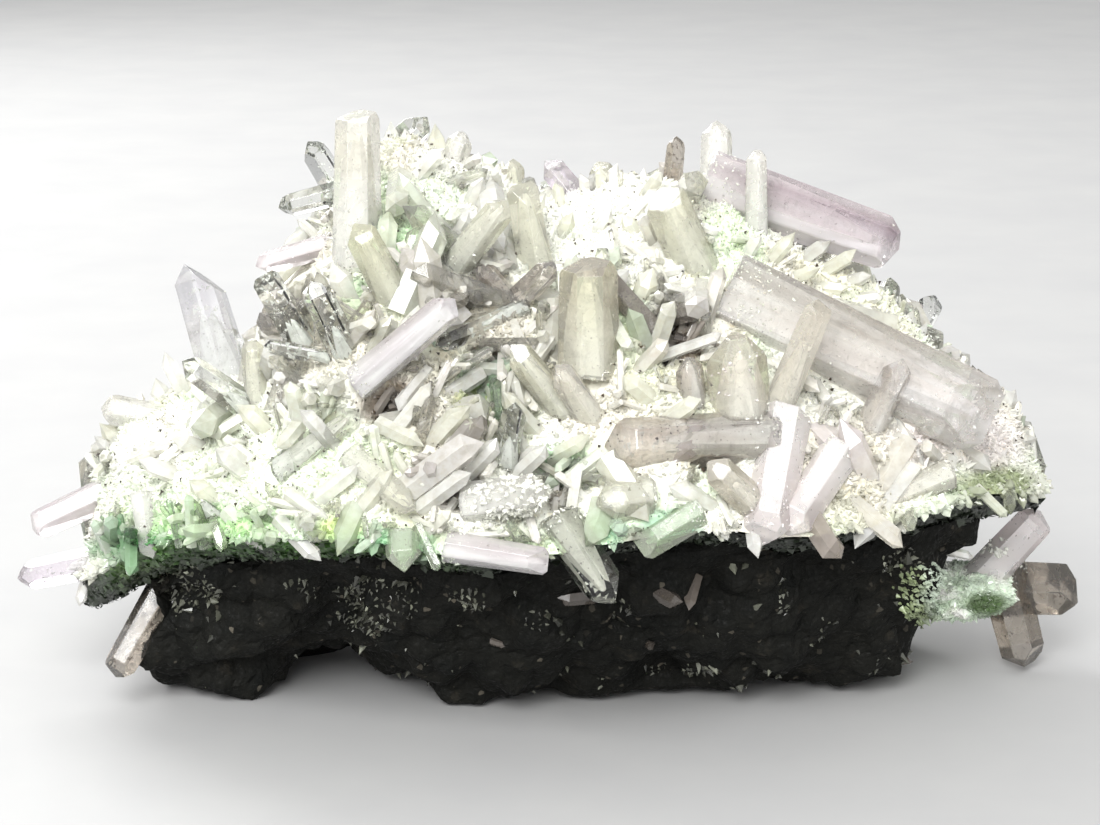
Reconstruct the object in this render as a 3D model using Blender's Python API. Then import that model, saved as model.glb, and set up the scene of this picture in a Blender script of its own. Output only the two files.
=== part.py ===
"""Fuchsite with quartz cluster: a dark host rock, a seam of green fuchsite, a two-peaked crust of
quartz druse, and quartz crystals that stand and lie on it. Metres, +Z up, +X to the right of the
front view, -Y towards the viewer. The origin is the centre of the specimen's footprint, on the
plane that the rock is cut off flat on."""

import math

import bmesh
import bpy
from mathutils import Matrix, Vector, noise

# ---------------------------------------------------------------- driving dimensions (millimetres)
MM = 0.001
GAP = 0.3               # clearance between neighbouring pieces
HALF_LEFT = 69.0        # the crust's reach to the left and right of the centre line
HALF_RIGHT = 72.5
COLUMNS = 15            # grid lines from the crust's front rim to its back rim
ROWS = 26               # grid lines from its left end to its right end
SEAM_STEP = 1           # grid lines that the seam's outline lies inside the crust's
ROCK_STEP = 3           # and the rock's
SEAM_INSET = math.cos(math.pi * SEAM_STEP / (COLUMNS - 1))
ROCK_INSET = math.cos(math.pi * ROCK_STEP / (COLUMNS - 1))
UNDER_DIP = 3.0         # how far the crust's underside sags towards its middle
ROOT_COVER = 3.0        # depth of small druse points over the surface that large crystals grow from

# The front elevation is laid out on a drawing 1100 units wide and 825 high, seen from a little
# above, at the distance where 6.87 units span one millimetre.
VIEW_ELEVATION = 14.5
VIEW_DISTANCE = 378.0
VIEW_HEIGHT = 40.0
VIEW_SCALE = 2597.0
VIEW_CENTRE = (550.0, 412.5)

# The crust's ridge and rims at stations along X:
# x, ridge y, ridge z, front rim y, front rim z, back rim y, back rim z
STATIONS = [
    (-69.0, -1.5, 21.0, -6.5, 17.5, 3.5, 17.5),
    (-67.0, -1.0, 33.0, -10.0, 18.0, 8.0, 19.0),
    (-62.5, 0.0, 40.8, -17.5, 22.0, 16.5, 22.0),
    (-58.0, 1.0, 42.8, -22.0, 26.0, 21.5, 25.0),
    (-51.0, 2.0, 44.7, -27.0, 29.5, 27.0, 28.0),
    (-45.0, 3.0, 46.2, -31.0, 31.0, 31.0, 29.5),
    (-40.5, 4.5, 55.0, -34.0, 31.5, 34.0, 30.0),
    (-36.0, 5.5, 64.3, -36.0, 32.0, 36.5, 30.0),
    (-29.5, 6.0, 75.2, -38.5, 32.5, 39.5, 30.0),
    (-24.5, 6.3, 80.0, -39.5, 33.0, 41.0, 30.0),
    (-19.0, 6.5, 80.5, -40.5, 32.0, 42.0, 30.0),
    (-12.5, 7.0, 76.0, -41.0, 31.0, 43.0, 30.0),
    (-5.5, 8.0, 73.2, -41.5, 31.0, 43.5, 30.0),
    (1.5, 9.0, 70.9, -41.5, 31.5, 43.5, 30.0),
    (9.0, 9.0, 73.2, -40.5, 33.0, 43.0, 30.5),
    (19.0, 8.5, 73.9, -39.0, 34.0, 41.5, 31.0),
    (25.0, 8.0, 71.8, -38.0, 33.5, 40.5, 31.5),
    (31.0, 7.5, 68.6, -37.0, 32.3, 39.0, 31.5),
    (38.0, 7.0, 63.5, -34.5, 31.8, 36.5, 31.5),
    (45.0, 6.5, 60.5, -31.5, 32.5, 33.5, 31.5),
    (51.0, 6.0, 56.5, -28.0, 33.5, 30.0, 32.0),
    (57.0, 5.0, 49.6, -23.5, 34.0, 26.0, 32.0),
    (63.0, 4.0, 43.6, -18.5, 33.0, 21.0, 31.5),
    (68.5, 3.0, 40.5, -12.5, 31.5, 14.5, 31.0),
    (71.4, 2.5, 35.5, -6.0, 30.5, 8.5, 30.0),
    (72.8, 2.0, 31.5, -2.5, 29.0, 6.0, 29.0),
]


def blend(x, column):
    """The value of one STATIONS column at x, with a smooth run between stations."""
    if x <= STATIONS[0][0]:
        return STATIONS[0][column]
    for low, high in zip(STATIONS, STATIONS[1:]):
        if x <= high[0]:
            t = (x - low[0]) / (high[0] - low[0])
            return low[column] + (high[column] - low[column]) * t
    return STATIONS[-1][column]


def lumps(x, y, size, seed):
    """Smooth unevenness of natural rock, about -1 to 1."""
    p = Vector((x / size + seed * 7.31, y / size - seed * 3.17, seed * 1.93))
    return noise.noise(p) + 0.5 * noise.noise(p * 2.1)


def rims(x):
    """Y of the front rim, the ridge and the back rim, with the outline's own unevenness."""
    front, ridge, back = blend(x, 3), blend(x, 1), blend(x, 5)
    full = min(1.0, (back - front) / 40)
    return (front + full * 1.3 * lumps(x, 60, 9.0, 6), ridge,
            back + full * 2.4 * lumps(x, 160, 13.0, 7))


def across(x, t):
    """Y of a point at share t of the way from the ridge to the front rim (-1) or back rim (+1)."""
    front, ridge, back = rims(x)
    return ridge + (ridge - front) * t if t < 0 else ridge + (back - ridge) * t


def share(x, y):
    """The inverse of across: how far y is towards a rim."""
    front, ridge, back = rims(x)
    if y < ridge:
        return (y - ridge) / max(ridge - front, 1e-3)
    return (y - ridge) / max(back - ridge, 1e-3)


def rim_height(x, t):
    """Height of the rim plane under the mound, from the front rim's to the back rim's."""
    return blend(x, 4) + (blend(x, 6) - blend(x, 4)) * (t + 1) / 2


def crust_top(x, t):
    """Top of the druse: what the tips of its small points reach."""
    s = min(abs(t), 1.0)
    low = rim_height(x, t)
    high = blend(x, 2)
    hump = (1 - s ** 1.55) ** 0.72
    y = across(x, t)
    uneven = 1.5 * lumps(x, y, 11.0, 1) + 0.7 * lumps(x, y, 4.5, 2)
    if y > blend(x, 1):
        uneven += 2.5 * lumps(x, y, 18.0, 8) * min(1.0, (y - blend(x, 1)) / 12)
    return low + (high - low) * hump + uneven * (1 - s ** 8) * min(1.0, (high - low) / 14)


def crust_under(x, t):
    """Underside of the druse, sagging towards the middle."""
    s = min(abs(t), 1.0)
    rise = min(1.0, (blend(x, 2) - rim_height(x, 0)) / 18)
    return rim_height(x, t) - UNDER_DIP * (1 - s ** 3) * rise - 0.3 * (1 - s ** 6)


def seam_thickness(x):
    """The fuchsite is thickest under the left wing and thin on the right."""
    left = math.exp(-((x + 50) / 16) ** 2)
    mid = math.exp(-((x + 20) / 14) ** 2)
    right = math.exp(-((x - 60) / 14) ** 2)
    return 2.4 + 2.6 * left + 1.4 * mid + 0.8 * right


def seam_top(x, t):
    return crust_under(x, t) - GAP


def seam_under(x, t):
    s = min(abs(t) / SEAM_INSET, 1.0)
    y = across(x, t)
    body = seam_thickness(x) * (1 - s ** 5) * (1 + 0.12 * lumps(x, y, 7.0, 3))
    return crust_under(x, t) - GAP - max(body, 0.0)


def rock_top(x, t):
    return seam_under(x, t) - GAP


def rock_under(x, t):
    """Underside of the rock: steep undercut flanks, then the flat cut at z = 0."""
    s = min(abs(t) / ROCK_INSET, 1.0)
    y = across(x, t)
    top = rock_top(x, math.copysign(ROCK_INSET, t) if t else ROCK_INSET)
    ends = min(1.0, max(0.0, (62.0 - abs(x + 2)) / 9.0))
    hollow = 9.5 * math.exp(-((x + 31) / 8.0) ** 2) * (1.0 if y < 0 else 0.35)
    flank = top * (s ** 3.4) + (1 - ends) ** 2 * top
    raw = flank - 2.2 + hollow + 2.1 * lumps(x, y, 9.0, 4) * (0.35 + s) + 0.8 * lumps(x, y, 4.0, 5)
    blunt = rock_top(x, t) - 0.2
    return max(0.0, min(raw, blunt))


def grid_slab(bm, xs, ts, top, under):
    """A closed body between two height fields. Where they meet at the rim they share its points."""
    tops, unders = [], []
    for x in xs:
        upper, lower = [], []
        for t in ts:
            high, low = top(x, t), under(x, t)
            point = bm.verts.new((x, across(x, t), high))
            upper.append(point)
            lower.append(point if high - low < 0.01 else bm.verts.new((x, across(x, t), low)))
        tops.append(upper)
        unders.append(lower)
    last = len(ts) - 1
    for i in range(len(xs) - 1):
        for j in range(last):
            split(bm, tops[i][j], tops[i + 1][j], tops[i + 1][j + 1], tops[i][j + 1], (i + j) % 2)
            split(bm, unders[i][j + 1], unders[i + 1][j + 1], unders[i + 1][j], unders[i][j],
                  (i + j + 1) % 2)
        face(bm, tops[i][0], unders[i][0], unders[i + 1][0], tops[i + 1][0])
        face(bm, tops[i + 1][last], unders[i + 1][last], unders[i][last], tops[i][last])
    for i, turn in ((0, 1), (len(xs) - 1, -1)):
        for j in range(last):
            face(bm, *(tops[i][j], tops[i][j + 1], unders[i][j + 1], unders[i][j])[::turn])


def face(bm, *corners):
    """A face between the corners that differ, if it has an area."""
    ring = list(dict.fromkeys(corners))
    if len(ring) > 2:
        bm.faces.new(ring)


def split(bm, a, b, c, d, odd):
    """A four-sided facet as two triangles."""
    if odd:
        face(bm, a, b, c)
        face(bm, a, c, d)
    else:
        face(bm, a, b, d)
        face(bm, b, c, d)


def spread(count, reach):
    """Shares from -reach to reach, closer together near both rims."""
    return [-reach * math.cos(math.pi * k / (count - 1)) for k in range(count)]


def stations(count, left, right):
    """X stations, closer together near both ends."""
    out = []
    for k in range(count):
        c = -math.cos(math.pi * k / (count - 1))
        u = 0.45 * c + 0.55 * (2 * k / (count - 1) - 1)
        out.append((left + right) / 2 + (right - left) / 2 * u)
    return out


def finish(bm, name, material):
    """Turns millimetre geometry into a named object in metres with its own finish."""
    bmesh.ops.remove_doubles(bm, verts=bm.verts, dist=0.002)
    bmesh.ops.dissolve_degenerate(bm, dist=0.002, edges=bm.edges)
    level = [f for f in bm.faces if all(abs(v.co.z) < 1e-6 for v in f.verts)]
    edges = {e for f in level for e in f.edges if all(g in level for g in e.link_faces)}
    bmesh.ops.dissolve_edges(bm, edges=list(edges), use_verts=True)
    bmesh.ops.recalc_face_normals(bm, faces=bm.faces)
    bmesh.ops.scale(bm, vec=(MM, MM, MM), verts=bm.verts)
    mesh = bpy.data.meshes.new(name)
    bm.to_mesh(mesh)
    bm.free()
    obj = bpy.data.objects.new(name, mesh)
    bpy.context.scene.collection.objects.link(obj)
    if material:
        mesh.materials.append(material)
    return obj


def finish_material(name, colour, roughness, transmission=0.0, ior=1.5):
    """A material that looks like the stone it is named for."""
    mat = bpy.data.materials.new(name)
    mat.use_nodes = True
    shader = mat.node_tree.nodes["Principled BSDF"]
    shader.inputs["Base Color"].default_value = (*colour, 1.0)
    shader.inputs["Roughness"].default_value = roughness
    shader.inputs["Metallic"].default_value = 0.0
    shader.inputs["IOR"].default_value = ior
    shader.inputs["Transmission Weight"].default_value = transmission
    mat.diffuse_color = (*colour, 1.0)
    return mat


MOVED = [0.0, 0.0, 0.0]     # where the footprint's centre was before it became the origin

# ------------------------------------------------------------------------------- the front drawing
ELEV = math.radians(VIEW_ELEVATION)
VIEW_FORWARD = Vector((0, math.cos(ELEV), -math.sin(ELEV)))
VIEW_UP = Vector((0, math.sin(ELEV), math.cos(ELEV)))
VIEW_RIGHT = Vector((1, 0, 0))
VIEW_EYE = Vector((0, 0, VIEW_HEIGHT)) - VIEW_FORWARD * VIEW_DISTANCE


def sight(u, v):
    """Direction from the viewing point through a point of the drawing, one unit deep."""
    return (VIEW_FORWARD + VIEW_RIGHT * ((u - VIEW_CENTRE[0]) / VIEW_SCALE)
            + VIEW_UP * ((VIEW_CENTRE[1] - v) / VIEW_SCALE))


def at_depth(u, v, depth):
    return VIEW_EYE + sight(u, v) * depth


def at_plane(u, v, y):
    """Where the sight line crosses the upright plane at y."""
    d = sight(u, v)
    return VIEW_EYE + d * ((y - VIEW_EYE.y) / d.y)


def under_cover(p, cover):
    """True where p is inside the crust, more than cover below its top."""
    if not STATIONS[0][0] < p.x < STATIONS[-1][0]:
        return False
    t = share(p.x, p.y)
    if abs(t) >= 1:
        return False
    return crust_under(p.x, t) < p.z < crust_top(p.x, t) - cover


def on_crust(u, v, cover):
    """Where the sight line first goes into the crust at the given cover, or at less cover near the
    skyline, or else where it crosses the ridge."""
    for share_of_cover in (1.0, 0.6, 0.3, 0.0):
        for step in range(700):
            p = at_depth(u, v, VIEW_DISTANCE - 60 + step * 0.2)
            if under_cover(p, cover * share_of_cover):
                return p
    p = at_plane(u, v, 0.0)
    return at_plane(u, v, blend(p.x, 1))


# ------------------------------------------------------------------------------------- the crystals
# Quartz: a six-sided prism with a six-faced point. The point's faces slope 38.2 degrees from the
# prism's axis, and three of them are larger than the other three.
POINT_SLOPE = math.radians(51.8)


# How each style of end departs from a sharp point: how far each of the six faces is cut back, in
# widths; how far the point would stand past the end; and a slanting face over it, if any, as slope
# and bearing in degrees (0 towards the viewer, 90 to the right of an upright crystal) and depth.
TIPS = {
    "point": ((0.00, -0.10, 0.03, -0.14, 0.01, -0.06), 0.02, None),
    "blunt": ((0.05, -0.05, 0.02, -0.06, 0.03, -0.02), 0.26, (20, 25, 0.05)),
    "post": ((0.03, -0.04, 0.02, -0.04, 0.04, 0.00), 0.38, (16, -40, 0.06)),
    "left": ((-0.06, 0.20, -0.04, -0.02, -0.05, -0.02), 0.16, None),
    "chisel": ((0.10, -0.10, -0.10, 0.10, -0.12, -0.10), 0.08, None),
    "round": ((0.05, 0.02, 0.06, 0.03, 0.05, 0.02), 0.22, (12, 0, 0.02)),
    "break": ((-0.30, -0.10, -0.25, 0.02, -0.20, -0.05), 0.05, (24, 140, 0.10)),
}


def crystal(bm, root, tip, width, roll, style, grow=0.0, flat=1.0):
    """Adds one crystal between two points, cut from a block by its own faces. grow offsets every
    face outwards, which makes the socket that the crystal sits in."""
    axis = tip - root
    length = axis.length
    axis.normalize()
    toward = -VIEW_FORWARD
    side = toward - axis * toward.dot(axis)
    if side.length < 0.2:
        side = VIEW_UP - axis * VIEW_UP.dot(axis)
    side.normalize()
    other = axis.cross(side)
    a = width * 0.45
    block = bmesh.new()
    bmesh.ops.create_cube(block, size=1.0)
    bmesh.ops.scale(block, vec=(width * 3, width * 3, length * 2 + width * 4), verts=block.verts)
    bmesh.ops.translate(block, vec=(0, 0, length / 2), verts=block.verts)
    uneven = [1.0, 0.93, 1.05, 0.97, 1.04, 0.92]
    planes = []
    for k in range(6):
        phi = math.radians(60 * k + roll)
        reach = a * uneven[(k + int(abs(roll))) % 6]
        if k in (0, 3):
            reach *= flat
        lean = math.radians(1.2)
        n = Vector((math.cos(phi) * math.cos(lean), math.sin(phi) * math.cos(lean), math.sin(lean)))
        planes.append((n, reach + length * 0.35 * math.sin(lean)))
    drops, extra, facet = TIPS[style]
    for k in range(6):
        phi = math.radians(60 * k + roll)
        n = Vector((math.cos(phi) * math.sin(POINT_SLOPE), math.sin(phi) * math.sin(POINT_SLOPE),
                    math.cos(POINT_SLOPE)))
        planes.append((n, (length + extra * width) * math.cos(POINT_SLOPE) - drops[k] * width))
    if facet:
        slope, phi = math.radians(facet[0]), math.radians(facet[1])
        n = Vector((math.cos(phi) * math.sin(slope), math.sin(phi) * math.sin(slope),
                    math.cos(slope)))
        planes.append((n, (length - facet[2] * width) * n.z))
    planes.append((Vector((0.12, -0.08, -1.0)).normalized(), 0.0))
    for n, reach in planes:
        cut = bmesh.ops.bisect_plane(block, geom=block.verts[:] + block.edges[:] + block.faces[:],
                                     dist=1e-4, plane_co=n * (reach + grow), plane_no=n,
                                     clear_outer=True)
        rim = [e for e in cut["geom_cut"] if isinstance(e, bmesh.types.BMEdge)]
        if rim:
            bmesh.ops.holes_fill(block, edges=[e for e in block.edges if e.is_boundary], sides=0)
        bmesh.ops.remove_doubles(block, verts=block.verts, dist=0.01)
    bmesh.ops.dissolve_limit(block, angle_limit=math.radians(0.3), verts=block.verts,
                             edges=block.edges)
    frame = Matrix((side, other, axis)).transposed().to_4x4()
    frame.translation = root
    bmesh.ops.transform(block, matrix=frame, verts=block.verts)
    bmesh.ops.recalc_face_normals(block, faces=block.faces)
    table = {}
    for f in block.faces:
        corners = []
        for w in f.verts:
            if w not in table:
                table[w] = bm.verts.new(w.co)
            corners.append(table[w])
        bm.faces.new(corners)
    block.free()


CLEAR = ("clear", (0.80, 0.82, 0.76))
SAGE = ("sage", (0.62, 0.66, 0.52))
BEIGE = ("beige", (0.70, 0.66, 0.58))
PINK = ("pink", (0.76, 0.64, 0.66))
LILAC = ("lilac", (0.66, 0.60, 0.70))
MILK = ("milk", (0.86, 0.86, 0.82))
SMOKE = ("smoke", (0.16, 0.14, 0.12))
GREEN = ("green", (0.22, 0.42, 0.26))

# One row for each crystal, measured on the front drawing:
# node, finish, foot u, foot v, tip u, tip v, width, lean to the viewer in degrees, depth of the
# foot (None: on the crust; a number: the upright plane at that y), root length beyond the foot in
# millimetres, roll about its axis, style of its end. Rows with the same node are grown together.
FRONT = [
    # upper left peak
    ("tall_post", BEIGE, 358, 245, 358, 111, 48, 8, None, 4, 4, "post"),
    ("peak_side_points", CLEAR, 338, 190, 308, 141, 30, 0, 8, 4, 20, "point"),
    ("peak_side_points", CLEAR, 336, 193, 278, 208, 25, 6, 7, 4, 40, "point"),
    ("brow_crystal", PINK, 324, 246, 255, 266, 25, 14, None, 4, 10, "point"),
    ("blunt_sage", SAGE, 393, 295, 357, 227, 36, 26, None, 3, 12, "blunt"),
    ("top_lying", CLEAR, 380, 164, 428, 117, 32, 0, 15, 3, 30, "point"),
    ("peak_milky_point", MILK, 448, 178, 463, 132, 28, 10, 8, 4, 0, "round"),
    # saddle
    ("saddle_sage_point", SAGE, 512, 205, 513, 158, 25, 6, 10, 4, 15, "point"),
    ("saddle_lavender", LILAC, 582, 206, 545, 161, 31, -10, 15, 4, 25, "point"),
    ("viewer_blunt", MILK, 455, 266, 504, 205, 32, 40, None, 0, 8, "blunt"),
    ("translucent_sage", SAGE, 537, 268, 521, 180, 39, 10, None, 4, 30, "chisel"),
    ("centre_pillar", BEIGE, 588, 372, 588, 260, 60, 8, None, 1, 2, "post"),
    ("brown_fan", BEIGE, 512, 306, 554, 264, 28, 26, None, 4, 20, "round"),
    ("brown_fan", BEIGE, 511, 306, 479, 266, 28, 18, None, 4, 14, "round"),
    ("brown_fan", CLEAR, 502, 318, 435, 346, 27, 30, None, 4, 8, "point"),
    # upper right peak
    ("smoky_top_point", SMOKE, 672, 184, 677, 136, 20, 4, 11, 4, 8, "point"),
    ("top_right_point", MILK, 716, 188, 717, 120, 33, -2, 17, 5, 5, "point"),
    ("big_pink", PINK, 706, 181, 898, 248, 60, 4, 9, 0.5, 5, "blunt"),
    ("white_finger", MILK, 757, 240, 757, 150, 25, 15, None, 3, 28, "round"),
    ("blunt_sage_right", SAGE, 695, 266, 663, 194, 47, 24, None, 2, 6, "post"),
    # left wing
    ("big_white_left", CLEAR, 226, 376, 193, 264, 52, 2, 5, 4, 26, "left"),
    ("wing_pair", CLEAR, 250, 408, 182, 360, 28, 18, None, 3, 10, "point"),
    ("wing_pair", SAGE, 258, 398, 252, 339, 26, 12, None, 3, 0, "round"),
    ("left_fan", CLEAR, 308, 350, 262, 272, 33, 8, None, 5, 22, "chisel"),
    ("left_fan", CLEAR, 346, 352, 311, 280, 33, 22, None, 5, 5, "point"),
    ("left_fan", CLEAR, 332, 359, 264, 345, 17, 14, None, 4, 15, "point"),
    ("long_diagonal", MILK, 359, 384, 453, 303, 36, 20, None, 0.3, 18, "blunt"),
    ("left_sage_point", SAGE, 300, 457, 360, 409, 32, 20, None, 4, 8, "point"),
    ("lower_long_pale", SAGE, 354, 458, 415, 511, 30, 22, None, 1, 28, "point"),
    ("wing_end_block", MILK, 150, 418, 103, 407, 33, 12, 0, 4, 12, "blunt"),
    # centre
    ("twin_front", SAGE, 566, 412, 511, 344, 32, 26, None, 4, 10, "point"),
    ("twin_front", BEIGE, 592, 418, 555, 364, 32, 28, None, 2, 24, "point"),
    ("centre_slim_clear", CLEAR, 506, 460, 516, 402, 26, 20, None, 1, 5, "point"),
    # right centre: five crystals that meet at one hub
    ("hub_cluster", LILAC, 768, 438, 610, 444, 54, 16, None, 1, 8, "blunt"),
    ("hub_cluster", BEIGE, 776, 412, 821, 304, 35, 20, None, 4, 26, "blunt"),
    ("hub_cluster", PINK, 780, 438, 763, 539, 52, 26, None, 4, 4, "blunt"),
    ("hub_cluster", PINK, 822, 476, 785, 533, 44, 30, None, 5, 14, "round"),
    ("hub_cluster", BEIGE, 762, 512, 710, 463, 35, 30, None, 4, 8, "round"),
    ("long_slope", PINK, 728, 296, 1000, 424, 86, 6, None, 1, 2, "chisel"),
    ("long_slope", BEIGE, 738, 292, 721, 331, 30, 46, None, 4, 10, "round"),
    ("hub_cluster", BEIGE, 741, 410, 736, 334, 62, 16, None, 2, 4, "round"),
    ("slope_brown_stub", BEIGE, 693, 400, 689, 358, 30, 22, None, 1, 16, "round"),
    ("long_slope", BEIGE, 872, 424, 904, 358, 32, 22, None, 4, 8, "point"),
    ("slope_top_point", CLEAR, 884, 322, 891, 277, 24, 6, 10, 4, 5, "point"),
    ("slope_end_block", CLEAR, 928, 372, 932, 328, 29, 6, 8, 4, 26, "blunt"),
    # lower edge, left to right
    ("rim_clear", CLEAR, 222, 522, 276, 555, 19, 18, None, 4, 10, "point"),
    ("dark_green_hex", GREEN, 403, 540, 404, 573, 36, 30, None, 1, 5, "point"),
    ("lower_lying", MILK, 460, 549, 551, 563, 31, 14, None, 2, 10, "chisel"),
    ("glassy_dark", SMOKE, 568, 534, 615, 604, 44, 16, None, 3, 12, "point"),
    ("white_lump", MILK, 478, 502, 548, 492, 42, 20, None, 2, 6, "round"),
    ("pale_chunk", SAGE, 644, 496, 598, 503, 44, 24, None, 1, 12, "round"),
    ("lower_pale_green", GREEN, 688, 518, 636, 550, 34, 14, None, 2, 18, "chisel"),
    ("lower_right_lying", BEIGE, 926, 484, 811, 537, 29, 14, None, 4, 10, "point"),
    ("edge_small_right", CLEAR, 948, 486, 1012, 484, 19, 2, -14, 4, 12, "point"),
    # lower left
    ("pink_white_left", PINK, 110, 492, 32, 528, 34, 4, -4, 4, 14, "blunt"),
    ("lavender_left", LILAC, 96, 562, 17, 578, 32, 4, -6, 4, 2, "point"),
    ("rim_white", MILK, 147, 520, 153, 559, 29, 28, None, 4, 20, "point"),
    ("smoky_lower_left", SMOKE, 158, 600, 115, 675, 35, 12, -12, 4, 8, "blunt"),
    # lower right group
    ("right_lump_crystals", PINK, 978, 582, 1042, 514, 40, 4, 0, 3, 5, "blunt"),
    ("right_lump_crystals", SMOKE, 996, 588, 1078, 590, 60, 0, 6, 3, 26, "break"),
    ("right_lump_crystals", SMOKE, 1004, 580, 1026, 666, 46, 0, 4, 3, 10, "break"),
]

# Crystals on the back and the ends, which grow out of the crust there:
# node, finish, x, share of the way to the rim (back is positive), length, width, tilt to +X and
# tilt down the slope in degrees from upright, roll, style
BACK = [
    ("back_tall_clear", CLEAR, -27, 0.42, 19, 5.4, -14, 34, 8, "point"),
    ("back_white_pair", MILK, -6, 0.50, 16, 6.0, 12, 46, 14, "chisel"),
    ("back_sage", SAGE, 12, 0.46, 18, 5.2, -18, 38, 0, "point"),
    ("back_big_lying", PINK, 34, 0.60, 24, 7.4, 50, 62, 10, "blunt"),
    ("back_left_point", CLEAR, -46, 0.55, 15, 4.8, -30, 48, 20, "point"),
    ("back_low_lying", BEIGE, -20, 0.80, 20, 5.6, -48, 78, 5, "point"),
    ("back_low_milky", MILK, 4, 0.84, 15, 6.2, 20, 82, 18, "round"),
    ("back_right_point", CLEAR, 53, 0.55, 14, 4.6, 36, 44, 28, "point"),
]


def place_front(row):
    node, finish_, fu, fv, tu, tv, width, lean, depth, root, roll, style = row
    foot = on_crust(fu, fv, ROOT_COVER) if depth is None else at_plane(fu, fv, depth)
    away = (foot - VIEW_EYE).dot(VIEW_FORWARD)
    run = math.hypot(tu - fu, tv - fv) * away / VIEW_SCALE
    tip = at_depth(tu, tv, away - run * math.tan(math.radians(lean)))
    back = foot - (tip - foot).normalized() * root
    return back, tip, width * away / VIEW_SCALE, roll, style


def place_back(row):
    node, finish_, x, t, length, width, sideways, down, roll, style = row
    y = across(x, t)
    foot = Vector((x, y, crust_top(x, t) - ROOT_COVER - 2))
    lean = Vector((math.tan(math.radians(sideways)), math.copysign(math.tan(math.radians(down)), t),
                   1.0)).normalized()
    return foot - lean * 3, foot + lean * length, width, roll, style


def main():
    for obj in list(bpy.data.objects):
        bpy.data.objects.remove(obj, do_unlink=True)

    rows = [(row[0], row[1], place_front(row)) for row in FRONT]
    rows += [(row[0], row[1], place_back(row)) for row in BACK]
    nodes = []
    for node, _, _ in rows:
        if node not in nodes:
            nodes.append(node)

    mats = {}

    def quartz(kind):
        if kind[0] not in mats:
            glow = 0.0 if kind[0] in ("milk",) else 0.8
            mats[kind[0]] = finish_material("quartz_" + kind[0], kind[1], 0.12, glow, 1.544)
        return mats[kind[0]]

    # the crystals, grown together where they share a node
    sockets = {}
    made = {}
    for node in nodes:
        parts, holes = [], []
        for name, kind, place in rows:
            if name != node:
                continue
            bm = bmesh.new()
            crystal(bm, *place)
            parts.append(finish(bm, node if not parts else node + "_twin", quartz(kind)))
            bm = bmesh.new()
            crystal(bm, *place, grow=GAP)
            holes.append(finish(bm, node + "_socket", None))
        made[node] = weld(parts)
        sockets[node] = holes

    # the four bodies of matrix
    xs = stations(ROWS, STATIONS[0][0], STATIONS[-1][0])
    ts = spread(COLUMNS, 1.0)
    matrix = []
    for name, top, under, step, colour, rough in (
            ("quartz_druse_crust", crust_top, crust_under, 0, (0.70, 0.80, 0.66), 0.55),
            ("fuchsite_seam", seam_top, seam_under, SEAM_STEP, (0.08, 0.26, 0.12), 0.5),
            ("host_rock", rock_top, rock_under, ROCK_STEP, (0.035, 0.034, 0.028), 0.75)):
        bm = bmesh.new()
        grid_slab(bm, xs[step:len(xs) - step], ts[step:len(ts) - step], top, under)
        matrix.append(finish(bm, name, finish_material(name, colour, rough)))
    lump = druse_lump()
    rock_hole = matrix[2].copy()
    rock_hole.data = matrix[2].data.copy()
    bpy.context.scene.collection.objects.link(rock_hole)
    for v in rock_hole.data.vertices:
        v.co = v.co + v.normal * GAP * 1.5 * MM
    carve(lump, rock_hole)
    bpy.data.objects.remove(rock_hole, do_unlink=True)
    matrix.append(lump)

    for body in matrix:
        for node in nodes:
            for hole in sockets[node]:
                if boxes_meet(body, hole):
                    carve(body, hole)
    for holes in sockets.values():
        for hole in holes:
            bpy.data.objects.remove(hole, do_unlink=True)

    # the origin goes to the middle of the footprint
    everything = matrix + [made[n] for n in nodes]
    corners = [v.co for obj in everything for v in obj.data.vertices]
    mid = Vector(((min(c.x for c in corners) + max(c.x for c in corners)) / 2,
                  (min(c.y for c in corners) + max(c.y for c in corners)) / 2,
                  min(c.z for c in corners)))
    for obj in everything:
        obj.data.transform(Matrix.Translation(-mid))
    MOVED[:] = [c / MM for c in mid]
    print("footprint centre was at", [round(c, 3) for c in MOVED], "mm")


def druse_lump():
    """The sugary lump under the right-hand overhang."""
    centre = at_plane(958, 591, 0)
    bm = bmesh.new()
    bmesh.ops.create_icosphere(bm, subdivisions=2, radius=1.0)
    for v in bm.verts:
        n = v.co.normalized()
        r = 1 + 0.16 * noise.noise(n * 1.7 + Vector((3, 1, 2))) + 0.08 * noise.noise(n * 4.3)
        v.co = Vector((n.x * 8.6 * r, n.y * 7.5 * r, n.z * 5.0 * r)) + centre
    return finish(bm, "lower_right_druse_lump", finish_material("lump", (0.30, 0.44, 0.30), 0.6))


def boxes_meet(a, b):
    def box(o):
        pts = [v.co for v in o.data.vertices]
        return [(min(p[k] for p in pts), max(p[k] for p in pts)) for k in range(3)]
    return all(p[0] < q[1] and q[0] < p[1] for p, q in zip(box(a), box(b)))


def boolean(obj, other, operation):
    mod = obj.modifiers.new("join", "BOOLEAN")
    mod.operation = operation
    mod.solver = "EXACT"
    mod.object = other
    deps = bpy.context.evaluated_depsgraph_get()
    mesh = bpy.data.meshes.new_from_object(obj.evaluated_get(deps))
    obj.modifiers.clear()
    return mesh


def tidy(mesh):
    """Merges points closer than a few microns, and says whether the mesh is one closed surface
    and what it encloses."""
    bm = bmesh.new()
    bm.from_mesh(mesh)
    bmesh.ops.remove_doubles(bm, verts=bm.verts, dist=3e-6)
    bmesh.ops.dissolve_degenerate(bm, dist=3e-6, edges=bm.edges)
    drop_crumbs(bm)
    closed = all(e.is_manifold for e in bm.edges)
    volume = bm.calc_volume(signed=True)
    bm.to_mesh(mesh)
    bm.free()
    return closed, volume


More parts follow.
